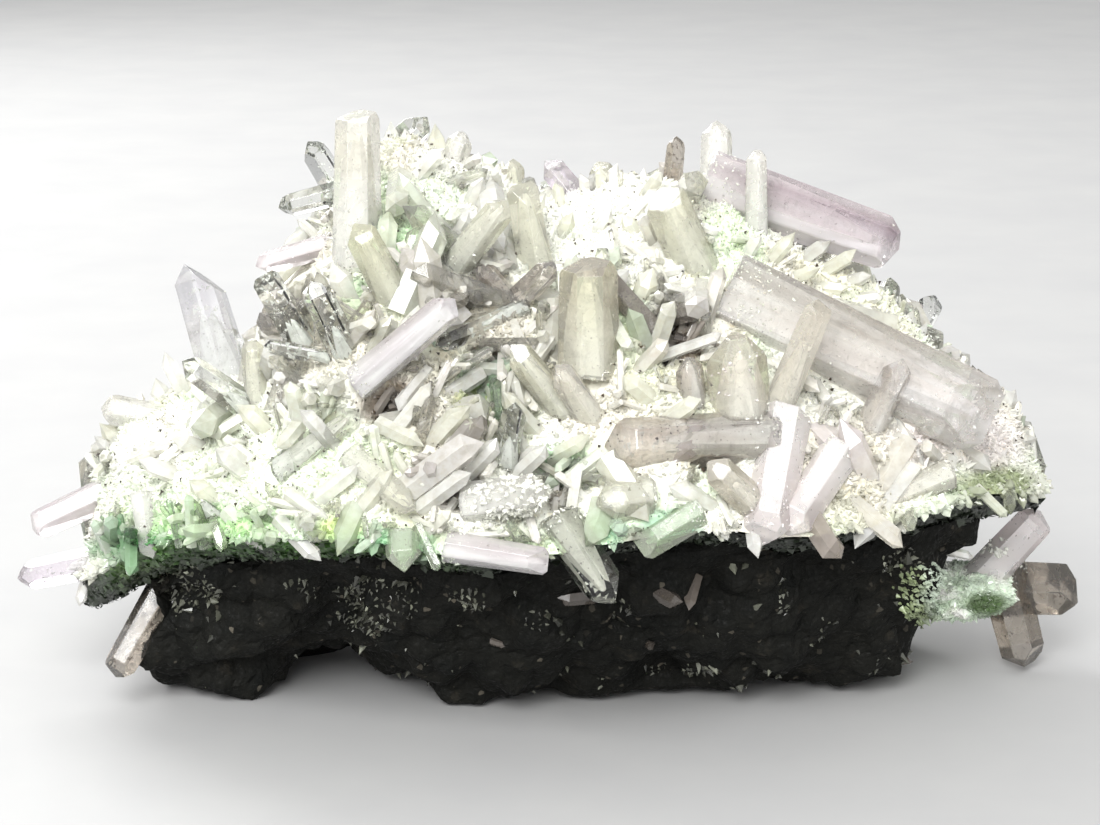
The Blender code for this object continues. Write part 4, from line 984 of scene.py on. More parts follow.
def crystal_core(length, width, roll, style, reach, seed):
    """The clouded inside of a crystal, a little in from its faces, with a ragged upper end."""
    bm = crystal_block(length, width, roll, style, shrink=0.07 * width)
    top = length * reach
    cut = bmesh.ops.bisect_plane(bm, geom=bm.verts[:] + bm.edges[:] + bm.faces[:], dist=1e-4,
                                 plane_co=(0, 0, top), plane_no=(0.2, 0.1, 1), clear_outer=True)
    bmesh.ops.holes_fill(bm, edges=[e for e in bm.edges if e.is_boundary], sides=0)
    bmesh.ops.triangulate(bm, faces=bm.faces[:])
    for _ in range(2):
        long_ = [e for e in bm.edges if e.calc_length() > 0.45 * width]
        bmesh.ops.subdivide_edges(bm, edges=long_, cuts=1, use_grid_fill=True)
    bmesh.ops.triangulate(bm, faces=bm.faces[:])
    shift = Vector((seed * 1.37, seed * 2.11, seed * 0.71))
    for v in bm.verts:
        near = max(0.0, 1 - (top - v.co.z) / (0.9 * width))
        k = noise.noise_vector(v.co / (0.5 * width) + shift)
        squeeze = 0.97 - 0.07 * (noise.noise(v.co / (0.5 * width) + shift) + 0.5) \
            - 0.62 * max(0.0, v.co.z / top) ** 1.5 - 0.12 * near ** 2
        v.co = Vector((v.co.x * squeeze, v.co.y * squeeze, v.co.z + 0.10 * width * near * k.z))
    bm.verts.index_update()
    out = ([v.co.copy() for v in bm.verts], [[v.index for v in f.verts] for f in bm.faces])
    bm.free()
    return out


def veil_flakes(length, width, count, seed_):
    """Thin chips inside a crystal in its own axes, close together at the root and few at the tip:
    veils, cracks and bubbles. Returns the points (n, 4, 3) and how high up each one is."""
    own_rng = np.random.default_rng(900 + seed_)
    high_ = own_rng.uniform(0, 1, count) ** 1.7
    z_ = length * (0.03 + 0.92 * high_)
    reach_ = np.minimum(0.36 * width, 0.62 * (length * 0.985 - z_))
    turn_ = own_rng.uniform(0, 2 * math.pi, count)
    r_ = np.sqrt(own_rng.uniform(0, 1, count)) * np.maximum(reach_, 0.02)
    mid_ = np.stack([r_ * np.cos(turn_), r_ * np.sin(turn_), z_], 1)
    plane_ = own_rng.normal(0, 1, (3, 3))
    bunch = own_rng.integers(0, 3, count)
    n_ = plane_[bunch] + 0.25 * own_rng.normal(0, 1, (count, 3))
    n_ /= np.linalg.norm(n_, axis=1, keepdims=True)
    u_ = np.cross(n_, own_rng.normal(0, 1, (count, 3)))
    u_ /= np.linalg.norm(u_, axis=1, keepdims=True)
    v_ = np.cross(n_, u_)
    size_ = np.clip(own_rng.lognormal(math.log(0.26), 0.5, count), 0.08, 0.16 * width)[:, None]
    three = [mid_ + size_ * (math.cos(a_) * u_ + math.sin(a_) * v_) for a_ in (0.2, 2.1, 4.4)]
    return np.stack(three + [mid_ + 0.10 * size_ * n_], 1), high_


core_verts, core_faces, core_tints = [], [], []
veil_points, veil_tints, surfaces = [], [], []
rows = [(r[0], r[1], place_front(r)) for r in FRONT] + [(r[0], r[1], place_back(r)) for r in BACK]
SLOTS = {k: "quartz_" + k for k in (CLEAR, SAGE, BEIGE, PINK, LILAC, MILK, SMOKE, GREEN)}
segments = []
for index, (node, kind, (root, tip, width, roll, style)) in enumerate(rows):
    length = (tip - root).length
    block = crystal_block(length, width, roll, style)
    soft = 0.02 * width if style in ("round", "blunt", "post") else 0.012 * width
    bmesh.ops.bevel(block, geom=block.edges[:], offset=soft, segments=1, affect="EDGES",
                    clamp_overlap=True)
    # each face its own tone: painted shade on faces turned away from the front, no two are alike, and all pale to the
    # root
    turn = crystal_frame(root, tip)
    look = LOOKS.get((node, kind), LOOKS.get(node, kind))
    band_and_light = BAND_AND_LIGHT_STOPS.get((node, kind), BAND_AND_LIGHT_STOPS.get(node))
    upward = turn.to_3x3().transposed() @ VIEW_UP
    upward = Vector((upward.x, upward.y, 0)).normalized()
    own_rng = np.random.default_rng(500 + index)
    dim, lit = np.array(SHADE[look]), np.array(LIT.get(node, (1, 1, 1)))
    block.normal_update()
    shade_share = block.faces.layers.float.new("share")
    for face in block.faces:
        turned = 1 - max(face.normal.x, 0.0) ** 1.5 if abs(face.normal.z) < 0.3 else \
            0.55 - 0.5 * face.normal.x
        uneven_ = own_rng.uniform(0.0, 0.45)
        if node == "centre_pillar" and face.normal.z > 0.3:
            turned = 1.0
        # the tall post: its top and side faces take the lit tone, painted light, and its faces toward the front the
        # darker tone
        if node == "tall_post":
            turned = 1.2 if face.normal.z < 0.3 and face.normal.x > 0.3 else 0.1
        face[shade_share] = min(1.0, max(0.0, 0.75 * turned + uneven_))
        # small faces, mostly the bevels along the edges, take the lit tone: painted highlight
        if face.calc_area() < 0.02 * width * length:
            face[shade_share] *= 0.3
    for part in (0.2, 0.38, 0.55, 0.68, 0.82):
        bmesh.ops.bisect_plane(block, geom=block.verts[:] + block.edges[:] + block.faces[:], dist=1e-4,
                               plane_co=(0, 0, length * part), plane_no=(0.1, 0.05, 1))
    layer = block.loops.layers.float_color.new("facet")
    shift = Vector((index * 3.7, index * -1.9, 0))
    for face in block.faces:
        for loop in face.loops:
            co_ = loop.vert.co
            along_ = co_.z / length
            fade = min(1.0, max(0.25, along_ * 1.15))
            if kind == SMOKE:
                fade = 1.0
            if node == "tall_post":
                fade = min(1.0, max(0.1, (along_ - 0.48) / 0.2))
            tone_ = (1 - face[shade_share]) * lit + face[shade_share] * dim
            if band_and_light:
                tone_ = band_and_light_tone(band_and_light, 2.1 * co_.dot(upward) / width)
                fade = min(1.0, 0.6 + 1.2 * along_)
                if node == "long_slope":
                    dusty_ = min(1.0, max(0.0, (along_ - 0.6) / 0.18))
                    tone_ = tone_ + (1 - tone_) * dusty_ * (0.95 if co_.dot(upward) < 0.3 * width else 0.4)
            blot = 1 - 0.16 * max(0.0, noise.noise(co_ / (0.7 * width) + shift))
            loop[layer] = (*(np.clip(1 - fade + fade * tone_ * blot, 0, 1)), 1.0)
    bmesh.ops.scale(block, vec=(MM, MM, MM), verts=block.verts)
    mesh = bpy.data.meshes.new(f"{node}_{index}")
    block.to_mesh(mesh)
    block.free()
    mesh.attributes.remove(mesh.attributes["share"])
    mesh.materials.append(QUARTZ[look])
    obj = bpy.data.objects.new(f"crystal_{index:02d}_{node}", mesh)
    bpy.context.scene.collection.objects.link(obj)
    m = crystal_frame(root, tip)
    m.translation = (root - MOVED) * MM
    obj.matrix_world = m
    place(obj, SLOTS[kind], node)
    segments.append((np.array(root), np.array(tip), width))
    reach_up = CORE_NODE.get(node, CORE_REACH[kind])
    core = crystal_core(length, width, roll, style, reach_up, index)
    core_verts.append(np.array([turn @ v for v in core[0]]))
    core_faces.append(core[1])
    cored = kind != SMOKE or node == "glassy_dark"
    if not cored:
        core_verts.pop()
        core_faces.pop()
    high = np.clip(np.array([v.z for v in core[0]]) / (length * reach_up), 0, 1)[:, None]
    high = high ** 0.7
    own = ROOT_TINT if kind in (CLEAR, LILAC) else np.array(CORE_TINT[kind])
    if node == "glassy_dark":
        own = np.array((0.70, 0.71, 0.62))
    foot_tone = own if kind in (SMOKE, GREEN) else ROOT_TINT
    if cored:
        core_tints.append(foot_tone * (1 - high) + own * high)
    many = {"long_diagonal": 3.0, "long_slope": 1.6, "big_pink": 1.5}.get(node, 1.0)
    chips, up_there = veil_flakes(length, width, int(np.clip(9 * length * width / 10, 30, 420) * many), index)
    flat_chips = chips.reshape(-1, 3)
    rot = np.array(turn.to_3x3())
    veil_points.append(flat_chips @ rot.T + np.array(turn.translation))
    own_v = own * (1.0 if cored else 0.5)
    veil_tints.append(np.repeat(ROOT_TINT * (1 - up_there[:, None]) + own_v * up_there[:, None], 4, axis=0)
                      if cored else np.tile(own_v * 2.2, (len(flat_chips), 1)))
    # the flat faces as fans in a fixed order, so that each run picks the same spots on them
    fans = []
    for face in mesh.polygons:
        ring_ = list(face.vertices)
        start = ring_.index(min(ring_))
        ring_ = ring_[start:] + ring_[:start]
        fans += [(ring_[0], ring_[k], ring_[k + 1]) for k in range(1, len(ring_) - 1)]
    local = np.array([v.co for v in mesh.vertices]) / MM
    surfaces.append((local @ rot.T + np.array(turn.translation), np.array(sorted(fans)), length,
                     np.array(root), np.array(tip), kind, node))
offset = 0
joined = []
for verts, part in zip(core_verts, core_faces):
    joined += [[offset + k for k in f] for f in part]
    offset += len(verts)
mesh_from("milky_cores", np.concatenate(core_verts), joined, CORE, "quartz_milky",
          tint=np.concatenate(core_tints))
veil_points, veil_tints = np.concatenate(veil_points), np.concatenate(veil_tints)
base_tri = np.array([(0, 1, 2), (0, 3, 1), (1, 3, 2), (2, 3, 0)])
veil_faces = (np.arange(len(veil_points) // 4)[:, None, None] * 4 + base_tri[None]).reshape(-1, 3)
mesh_from("sealed_veils", veil_points, veil_faces, CORE, "quartz_milky", tint=veil_tints)
print("veil chips", len(veil_points) // 4)

# the smaller crystals of the drawing
small_rows = []
for kind, fu, fv, tu, tv, width, lean, deep in SMALL:
    root, tip, w, _, _ = place_front(("", kind, fu, fv, tu, tv, width, lean, deep, 2.0, 0, "point"))
    small_rows.append((kind, root, tip, w))
SMALL_TINT = {CLEAR: (0.97, 0.97, 0.95), SAGE: (0.95, 0.955, 0.85), BEIGE: (0.91, 0.88, 0.81),
              PINK: (0.94, 0.88, 0.88), LILAC: (0.90, 0.87, 0.94), MILK: (0.97, 0.97, 0.94),
              SMOKE: (0.46, 0.41, 0.37), GREEN: (0.66, 0.75, 0.58)}
feet = np.array([np.array(r[1]) for r in small_rows])
tips = np.array([np.array(r[2]) for r in small_rows])
axes = tips - feet
lens = np.linalg.norm(axes, axis=1)
axes /= lens[:, None]
points = spikes(feet, axes, np.array([r[3] for r in small_rows]) * 1.05, lens, np.zeros(len(feet)),
                ragged=0.08, tip=(0.5, 0.85))
spike_piece("drawn_points", points, np.array([SMALL_TINT[r[0]] for r in small_rows]), "quartz_clear",
            BLOCKS)
segments += [(np.array(r[1]), np.array(r[2]), r[3]) for r in small_rows]


def clearance(points_):
    """Least of distance to a large crystal's axis less its radius, for each point."""
    best = np.full(len(points_), 1e9)
    for a, b, w in segments:
        d = b - a
        t = np.clip((points_ - a) @ d / (d @ d), 0, 1)
        away = np.linalg.norm(points_ - (a + t[:, None] * d), axis=1) - 0.5 * w
        best = np.minimum(best, away)
    return best


# ---------------------------------------------------------------------------------- the small points
def scatter(count, cell, shares=None):
    """Spots on the druse: about one for each cell, with the surface's normal there."""
    tri = faces[:2 * (NX - 1) * (NT - 1)]
    a, b, c = base[tri[:, 0]], base[tri[:, 1]], base[tri[:, 2]]
    area = np.linalg.norm(np.cross(b - a, c - a), axis=1)
    pick = rng.choice(len(tri), count, p=area / area.sum())
    r1, r2 = np.sqrt(rng.uniform(0, 1, count)), rng.uniform(0, 1, count)
    w = np.stack([1 - r1, r1 * (1 - r2), r1 * r2], 1)[:, :, None]
    where = (np.stack([a[pick], b[pick], c[pick]], 1) * w).sum(1)
    smooth = normal.reshape(-1, 3)
    n = (np.stack([smooth[tri[pick, k]] for k in range(3)], 1) * w).sum(1)
    n /= np.linalg.norm(n, axis=1, keepdims=True)
    key = np.floor(where / cell).astype(int)
    _, first = np.unique(key, axis=0, return_index=True)
    first = rng.permutation(first)
    return where[first], n[first]


def lean_out(n, spread_, least):
    axes_ = n + spread_ * rng.normal(0, 1, n.shape)
    axes_ /= np.linalg.norm(axes_, axis=1, keepdims=True)
    dot = (axes_ * n).sum(1)
    flip = dot < least
    axes_[flip] += n[flip] * (least - dot[flip] + 0.15)[:, None] * 1.4
    axes_ /= np.linalg.norm(axes_, axis=1, keepdims=True)
    return axes_


# Sugary stretches of the front, with few points: centre u, v, half width, half height
SUGAR = [(200, 452, 100, 56), (150, 490, 60, 40), (412, 243, 40, 32), (835, 262, 34, 20), (520, 225, 70, 46), (600, 250, 50, 60), (410, 215, 40, 45), (735, 240, 34, 30),
         (300, 470, 60, 30), (250, 445, 40, 30), (960, 430, 46, 26), (640, 300, 16, 40)]


def sugary(points):
    u, v, _ = on_drawing(points)
    x, y, _ = points.T
    ridge = np.array([blend(a, 1) for a in x])
    most = np.zeros(len(points))
    for pu, pv, wide_, tall in SUGAR:
        most = np.maximum(most, np.clip(1.4 - ((u - pu) / wide_) ** 2 - ((v - pv) / tall) ** 2, 0, 1))
    behind = np.clip((smooth_noise(points, 14.0, 61) - 0.12) * 5, 0, 1)
    return np.where(y < ridge + 2, most, behind)


# the skyline of the druse on the drawing, by columns four units wide
sky_u, sky_v, _ = on_drawing(envelope.reshape(-1, 3))
SKYLINE = np.full(300, 900.0)
np.minimum.at(SKYLINE, np.clip((sky_u / 4).astype(int), 0, 299), sky_v)
drawn_segments = []
for a, b, w in segments[:len(FRONT)] + segments[len(rows):]:
    (u0, u1), (v0, v1), (d0, d1) = on_drawing(np.array((a, b)))
    drawn_segments.append((u0, v0, d0, u1, v1, d1, w * VIEW_SCALE / ((d0 + d1) / 2)))


def hides(spots, wide_):
    """True for each spot that would stand before a drawn crystal, or above the skyline."""
    u, v, d = on_drawing(spots)
    column = np.clip((u / 4).astype(int), 1, 298)
    sky = np.minimum(np.minimum(SKYLINE[column - 1], SKYLINE[column]), SKYLINE[column + 1])
    bad = ((v < sky - 3) & (sky < 899)) | (u > 1034) | (u < 84)
    half = 0.5 * wide_ * VIEW_SCALE / d
    for u0, v0, d0, u1, v1, d1, w in drawn_segments:
        du, dv = u1 - u0, v1 - v0
        t = ((u - u0) * du + (v - v0) * dv) / max(du * du + dv * dv, 1.0)
        inside = np.clip(t, 0.12, 1.0)
        away = np.hypot(u - (u0 + inside * du), v - (v0 + inside * dv))
        nearer = d < d0 + (d1 - d0) * inside + 1.0
        bad |= nearer & (away < 0.46 * w + 0.30 * half)
    return bad


def jumble(count, cell, length, limits, slim, reach_, spacing, root, clear):
    """Points that lie about in every direction. Returns feet, axes, widths and lengths."""
    where_, n_ = scatter(count, cell)
    few = sugary(where_)
    keep_ = rng.uniform(0, 1, len(where_)) > 0.85 * few
    where_, n_ = where_[keep_], n_[keep_]
    lens_ = np.clip(rng.lognormal(math.log(length), 0.32, len(where_)), *limits)
    wide_ = lens_ * rng.uniform(*slim, len(where_))
    sideways = rng.normal(0, 1, n_.shape) + np.array((0, 0, 0.35))
    sideways -= n_ * (sideways * n_).sum(1)[:, None]
    sideways /= np.linalg.norm(sideways, axis=1, keepdims=True)
    up_ = rng.uniform(*reach_, len(where_))
    rise = np.clip(up_ / lens_, 0.10, 0.95)
    axes_ = n_ * rise[:, None] + sideways * np.sqrt(1 - rise ** 2)[:, None]
    ok = np.ones(len(where_), bool)
    for f in (0.3, 0.65, 1.0):
        spot = where_ + axes_ * (lens_ * f)[:, None]
        ok &= clearance(spot) > clear * wide_
        ok &= ~hides(spot, wide_)
    u_, v_, _ = on_drawing(where_ + axes_ * (lens_ * 0.6)[:, None])
    lucky = rng.uniform(0, 1, len(where_)) < 0.12
    for pu, pv, wide_h, tall, _ in HOLLOWS[:8]:
        ok &= (((u_ - pu) / wide_h) ** 2 + ((v_ - pv) / tall) ** 2 > 0.85) | lucky
    low_ = np.array([rim_height(p[0], 0) for p in where_])
    ok &= (where_ + axes_ * lens_[:, None])[:, 2] > low_ - 1.6
    where_, axes_, wide_, lens_ = where_[ok], axes_[ok], wide_[ok], lens_[ok]
    spots = np.floor((where_ + axes_ * (lens_ * 0.6)[:, None]) / spacing).astype(int)
    _, first = np.unique(spots, axis=0, return_index=True)
    return where_[first], axes_[first], wide_[first], lens_[first]


def point_tones(where_):
    tone_ = surface_tint(where_)
    kind_ = rng.uniform(0, 1, len(where_))[:, None]
    own = np.where(kind_ < 0.45, [[0.99, 0.98, 0.95]], np.where(
        kind_ < 0.72, [[0.96, 0.955, 0.88]], np.where(kind_ < 0.88, [[0.95, 0.92, 0.87]],
                                                       [[0.97, 0.93, 0.93]])))
    # points over dark ground take its tone, the dark green and the painted shade of the hollows alike
    dark_and_shaded = np.clip((0.42 - tone_.mean(1)) / 0.25, 0, 1)[:, None]
    leafy_ = np.clip((tone_[:, 1:2] - tone_[:, ::2].mean(1, keepdims=True)) / 0.16, 0, 1) * 0.34
    own = own * (1 - leafy_) + tone_ * leafy_
    return np.clip((tone_ * 0.36 + 0.66 * own) * (1 - 0.7 * dark_and_shaded) + tone_ * 0.7 * dark_and_shaded, 0, 0.98)


def point_pieces(name, where_, axes_, wide_, lens_, root, material, slot, ragged=0.12):
    pts = spikes(where_, axes_, wide_, lens_, np.full(len(where_), root), ragged=ragged,
                 tip=(0.38, 0.68))
    tone_ = point_tones(where_)
    front_ = where_[:, 1] < 6
    glass_ = rng.uniform(0, 1, len(where_)) < 0.30
    for part_, side_ in ((front_, "front"), (~front_, "back")):
        for which, look, what in ((~glass_, material, ""), (glass_, GLASSY, "clear_")):
            chosen_ = part_ & which
            spike_piece(f"{what}{name}_{side_}", pts[chosen_], tone_[chosen_], slot, look)
    print(name, front_.sum(), (~front_).sum())


blocky = jumble(40000, 2.1, 9.0, (5.0, 15), (0.26, 0.42), (1.8, 5.6), 2.2, 2.5, 0.18)
blocky = (blocky[0], blocky[1], np.clip(blocky[2], 2.2, 5.0), blocky[3])
point_pieces("blocky_points", *blocky, 2.5, BLOCKS, "quartz_clear", 0.10)
slender = jumble(60000, 1.35, 5.0, (2.6, 9.5), (0.18, 0.34), (1.5, 3.8), 1.35, 1.5, 0.12)
slender = (slender[0], slender[1], np.clip(slender[2], 0.8, 2.2), slender[3])
point_pieces("slender_points", *slender, 1.5, POINTS, "quartz_clear")

# grains: the sugar of the druse
where, n = scatter(260000, 0.66)
keep = clearance(where + n * 0.6) > -0.2
deep = hollow_depth(where)
keep &= (deep < 2.0) | (rng.uniform(0, 1, len(where)) < 0.5)
where, n = where[keep], n[keep]
wide = np.clip(rng.lognormal(math.log(0.66), 0.30, len(where)), 0.35, 1.5)
lens = wide * rng.uniform(0.55, 1.15, len(where))
axes = lean_out(n, 0.55, 0.2)
tone = surface_tint(where)
tone = np.clip(tone * rng.uniform(0.80, 1.08, (len(where), 1)), 0, 0.97)
points = pyramids(where, axes, wide, lens, wide * 0.35)
front = where[:, 1] < 6
for name, part in (("grains_front", front), ("grains_back", ~front)):
    chosen = np.flatnonzero(part)[:19600]
    pyramid_piece(name, points[chosen], tone[chosen], "quartz_druse", GRAINS)
    print(name, len(chosen), "of", part.sum())

# druse that has grown over the roots of the large crystals, and over the dusty faces of some
# patches on the drawing: centre u, v, half width, half height, colour, share of the face covered
DUSTED = [
    (952, 414, 62, 34, (1.0, 0.99, 0.985), 0.2), (512, 496, 46, 24, WHITE, 0.95), (992, 546, 20, 9, WHITE, 0.8),
    (770, 470, 30, 30, WHITE, 0.18), (745, 290, 24, 14, DUSTY, 0.15), (738, 375, 32, 40, PINKISH, 0.16), (768, 500, 30, 40, (0.98, 0.93, 0.93), 0.25),
]
dust_where, dust_n, dust_tone, dust_wide = [], [], [], []
for verts_, tris_, length, root, tip, kind, node in surfaces:
    a, b, c = verts_[tris_[:, 0]], verts_[tris_[:, 1]], verts_[tris_[:, 2]]
    cross = np.cross(b - a, c - a)
    area = np.linalg.norm(cross, axis=1)
    count = int(area.sum() * 0.5 * 2.2)
    pick = rng.choice(len(tris_), count, p=area / area.sum())
    r1, r2 = np.sqrt(rng.uniform(0, 1, count))[:, None], rng.uniform(0, 1, count)[:, None]
    spot = a[pick] * (1 - r1) + b[pick] * r1 * (1 - r2) + c[pick] * r1 * r2
    face_n = cross[pick] / area[pick][:, None]
    along = (spot - root) @ ((tip - root) / length) / length
    uneven = smooth_noise(spot, 1.8, 71)
    chance = np.clip((0.22 - along) / 0.12 + 1.2 * uneven, 0, 1) * 0.8
    tone = surface_tint(spot) * 0.5 + 0.5 * WHITE
    middling = np.full(count, 0.34)
    u, v, _ = on_drawing(spot)
    for pu, pv, wide_, tall, colour, share_ in DUSTED:
        inside = ((u - pu) / wide_) ** 2 + ((v - pv) / tall) ** 2 + 0.8 * uneven < 1.0
        chance = np.where(inside & (face_n[:, 1] < 0.3), np.maximum(chance, share_), chance)
        tone = np.where(inside[:, None], np.array(colour) * 0.97, tone)
        if share_ > 0.5:
            middling = np.where(inside, 0.92, middling)
    chance = np.maximum(chance, 0.003)
    keep = rng.uniform(0, 1, count) < chance
    dust_where.append(spot[keep])
    dust_n.append(face_n[keep])
    dust_tone.append(tone[keep])
    dust_wide.append(middling[keep])
where, n, tone, middling = (np.concatenate(k) for k in (dust_where, dust_n, dust_tone, dust_wide))
wide = np.clip(middling * rng.lognormal(0.0, 0.30, len(where)), 0.18, 1.1)
points = pyramids(where, lean_out(n, 0.5, 0.3), wide, wide * rng.uniform(0.3, 0.7, len(where)), wide * 0.4)
chosen = rng.permutation(len(where))[:6600]
pyramid_piece("grown_over_grains", points[chosen], np.clip(tone[chosen], 0, 0.97), "quartz_druse", GRAINS)
print("grown over", len(where))

# points that hang over the rim, all round
rng = np.random.default_rng(4211)
rim_feet, rim_axes = [], []
for side in (-1.0, 1.0):
    for x in rng.uniform(STATIONS[0][0] + 0.5, STATIONS[-1][0] - 0.5, 950):
        t = side * (1 - 0.12 * rng.uniform(0, 1) ** 2)
        step = 0.6
        tangent = np.array((2 * step, across(x + step, t) - across(x - step, t), 0.0))
        outward = np.array((tangent[1], -tangent[0], 0.0)) * -side * -1
        outward /= np.linalg.norm(outward)
        if outward[1] * side < 0:
            outward = -outward
        rim_feet.append((x, across(x, t) - side * 0.4 * abs(outward[1]), crust_under(x, t) + rng.uniform(-0.2, 0.8)))
        lean = outward + rng.normal(0, 0.45, 3) + np.array((0, 0, rng.uniform(-0.9, 0.35)))
        rim_axes.append(lean / np.linalg.norm(lean))
rim_feet, rim_axes = np.array(rim_feet), np.array(rim_axes)
keep = (clearance(rim_feet) > 0.2) & (clearance(rim_feet + rim_axes * 1.5) > 0.2)
rim_feet, rim_axes = rim_feet[keep], rim_axes[keep]
wide = np.clip(rng.lognormal(math.log(0.75), 0.4, len(rim_feet)), 0.35, 1.9)
points = spikes(rim_feet, rim_axes, wide, np.minimum(wide * rng.uniform(0.9, 2.1, len(wide)), 2.3), wide * 0.6,
                ragged=0.15)
tone = np.clip(surface_tint(rim_feet) * 0.75 + 0.25 * WHITE, 0, 0.97)
spike_piece("rim_points", points, tone, "quartz_clear", POINTS)

# dark grit: mineral grains and bits of dry plant on the druse
where, n = scatter(6600, 0.4)
size = np.clip(rng.lognormal(math.log(0.115), 0.45, len(where)), 0.06, 0.34)
corners = np.array([(1, 0, -0.6), (-0.5, 0.9, -0.6), (-0.5, -0.8, -0.6), (0.1, 0, 0.8)])
verts = []
for k in range(len(where)):
    spin = rng.normal(0, 1, (3, 3))
    q, _ = np.linalg.qr(spin)
    body_ = (corners * (rng.uniform(0.5, 1.5, 3))) @ q
    verts.append(where[k] + n[k] * (size[k] * 0.4 + rng.uniform(0, 0.9)) + body_ * size[k])
grit_faces = [[4 * k + i for i in f] for k in range(len(where))
              for f in ((0, 1, 2), (0, 3, 1), (1, 3, 2), (2, 3, 0))]
mesh_from("dark_grit", np.concatenate(verts), grit_faces, GRIT, "host_rock")

# ------------------------------------------------------------------------------- the fuchsite seam
SX, ST = 140, 72
seam_upper, _, seam_ts = sheet_grid(SX, ST, seam_top, SEAM_INSET)
seam_lower, _, _ = sheet_grid(SX, ST, seam_under, SEAM_INSET)
inner = (XS[0] + 1.5, XS[-1] - 1.5)
for g in (seam_upper, seam_lower):
    g[:, :, 0] = np.clip(g[:, :, 0], *inner)
down = seam_lower.reshape(-1, 3)
s = np.abs(np.tile(seam_ts / SEAM_INSET, SX))
leafy = smooth_noise(down * np.array((1, 1, 3.0)), 2.2, 21)
down[:, 2] += (leafy * 0.9 + smooth_noise(down, 6.0, 22) * 0.9 + 0.5 * (0.5 - cells(down, 1.6, 24)) - 0.2) \
    * np.clip(1 - s ** 12, 0, 1)
up = seam_upper.reshape(-1, 3)
down[:, 2] = np.minimum(down[:, 2], up[:, 2] - 0.02)


# Mica colour: green where the seam is bare and painted near black, painted shade, on the rest of the front; sunk_shade
# is painted shade deepening below the rim, and the green is painted lighter near the top of the rim, painted light from
# above
def mica_tint(points):
    u, v, _ = on_drawing(points)
    mid = smooth_noise(points, 4.0, 31)[:, None]
    big = smooth_noise(points, 12.0, 32)[:, None]
    left = (1 / (1 + np.exp((u - 440) / 22)) / (1 + np.exp((112 - u) / 9)))[:, None]
    behind = np.clip((points[:, 1] - 5) / 10, 0, 1)[:, None]
    bare = np.clip(left + 0.7 * behind * (0.5 + big), 0, 1)
    green = np.array((0.050, 0.112, 0.026)) * (0.9 + 0.9 * mid) + np.clip(big, 0, 1) * np.array((0.12, 0.17, 0.05))
    high_ = np.clip((points[:, 2] - np.array([rim_height(a, -1.0) for a in points[:, 0]]) + 1.0) / 1.6, 0, 1)
    green = green + high_[:, None] * np.array((0.20, 0.31, 0.11)) * np.clip(0.8 + mid, 0, 1.5)
    dark = np.array((0.014, 0.018, 0.012)) * (1 + 0.8 * mid)
    rim_ = np.array([rim_height(a, -1.0) for a in points[:, 0]])
    sunk_shade = np.clip((rim_ - 1.2 - points[:, 2]) / 4.2 + 0.35 * mid[:, 0], 0, 1)[:, None]
    bare = bare * (1 - 0.93 * sunk_shade)
    return np.clip(dark * (1 - bare) + green * bare, 0.006, 0.9)


mesh_from("mica_seam", np.concatenate([up, down]), slab_faces(SX, ST, SX * ST), MICA, "fuchsite",
          ["fuchsite_seam"], tint=np.concatenate([mica_tint(up), mica_tint(down)]))

# leaves of mica that stand off the seam, thickest where it is bare
tri = slab_faces(SX, ST, SX * ST)[2 * (SX - 1) * (ST - 1):4 * (SX - 1) * (ST - 1)] - SX * ST
mid = down[tri].mean(1)
cross = np.cross(down[tri[:, 1]] - down[tri[:, 0]], down[tri[:, 2]] - down[tri[:, 0]])
area = np.linalg.norm(cross, axis=1)
near_rim = np.array([abs(share(p[0], p[1])) for p in mid])
weight = area * np.where(near_rim > 0.62, 1.0, 0.04)
pick = rng.choice(len(tri), 9500, p=weight / weight.sum())
w = rng.dirichlet((1, 1, 1), len(pick))[:, :, None]
where = (down[tri[pick]] * w).sum(1)
n = cross[pick] / area[pick][:, None]
n += 0.45 * rng.normal(0, 1, n.shape)
n /= np.linalg.norm(n, axis=1, keepdims=True)
side_ = np.cross(n, rng.normal(0, 1, n.shape))
side_ /= np.linalg.norm(side_, axis=1, keepdims=True)
other = np.cross(n, side_)
size = np.clip(rng.lognormal(math.log(0.36), 0.42, len(where)), 0.15, 1.1)
angle = np.arange(4) * math.pi / 2 + rng.uniform(-0.4, 0.4, (len(where), 4))
reach = size[:, None] * rng.uniform(0.7, 1.15, (len(where), 4))
ring = (np.cos(angle) * reach)[:, :, None] * side_[:, None] + (np.sin(angle) * reach)[:, :, None] * other[:, None]
middle = where + n * rng.uniform(0.0, 0.45, len(where))[:, None]
leaf_top = middle + n * (0.06 + 0.06 * size)[:, None]
leaves_ = np.concatenate([middle[:, None] + ring, leaf_top[:, None]], 1)
leaf_faces = (5 * np.arange(len(where))[:, None, None]
              + np.array([(0, 1, 4), (1, 2, 4), (2, 3, 4), (3, 0, 4), (2, 1, 0), (3, 2, 0)])[None]).reshape(-1, 3)
leaf_tint = np.repeat(mica_tint(where) * rng.uniform(0.5, 2.0, (len(where), 1)), 5, axis=0)
shown = 8900
mesh_from("mica_leaves", leaves_[:shown].reshape(-1, 3), leaf_faces[:6 * shown], MICA, "fuchsite",
          tint=np.clip(leaf_tint[:5 * shown], 0.004, 0.9))

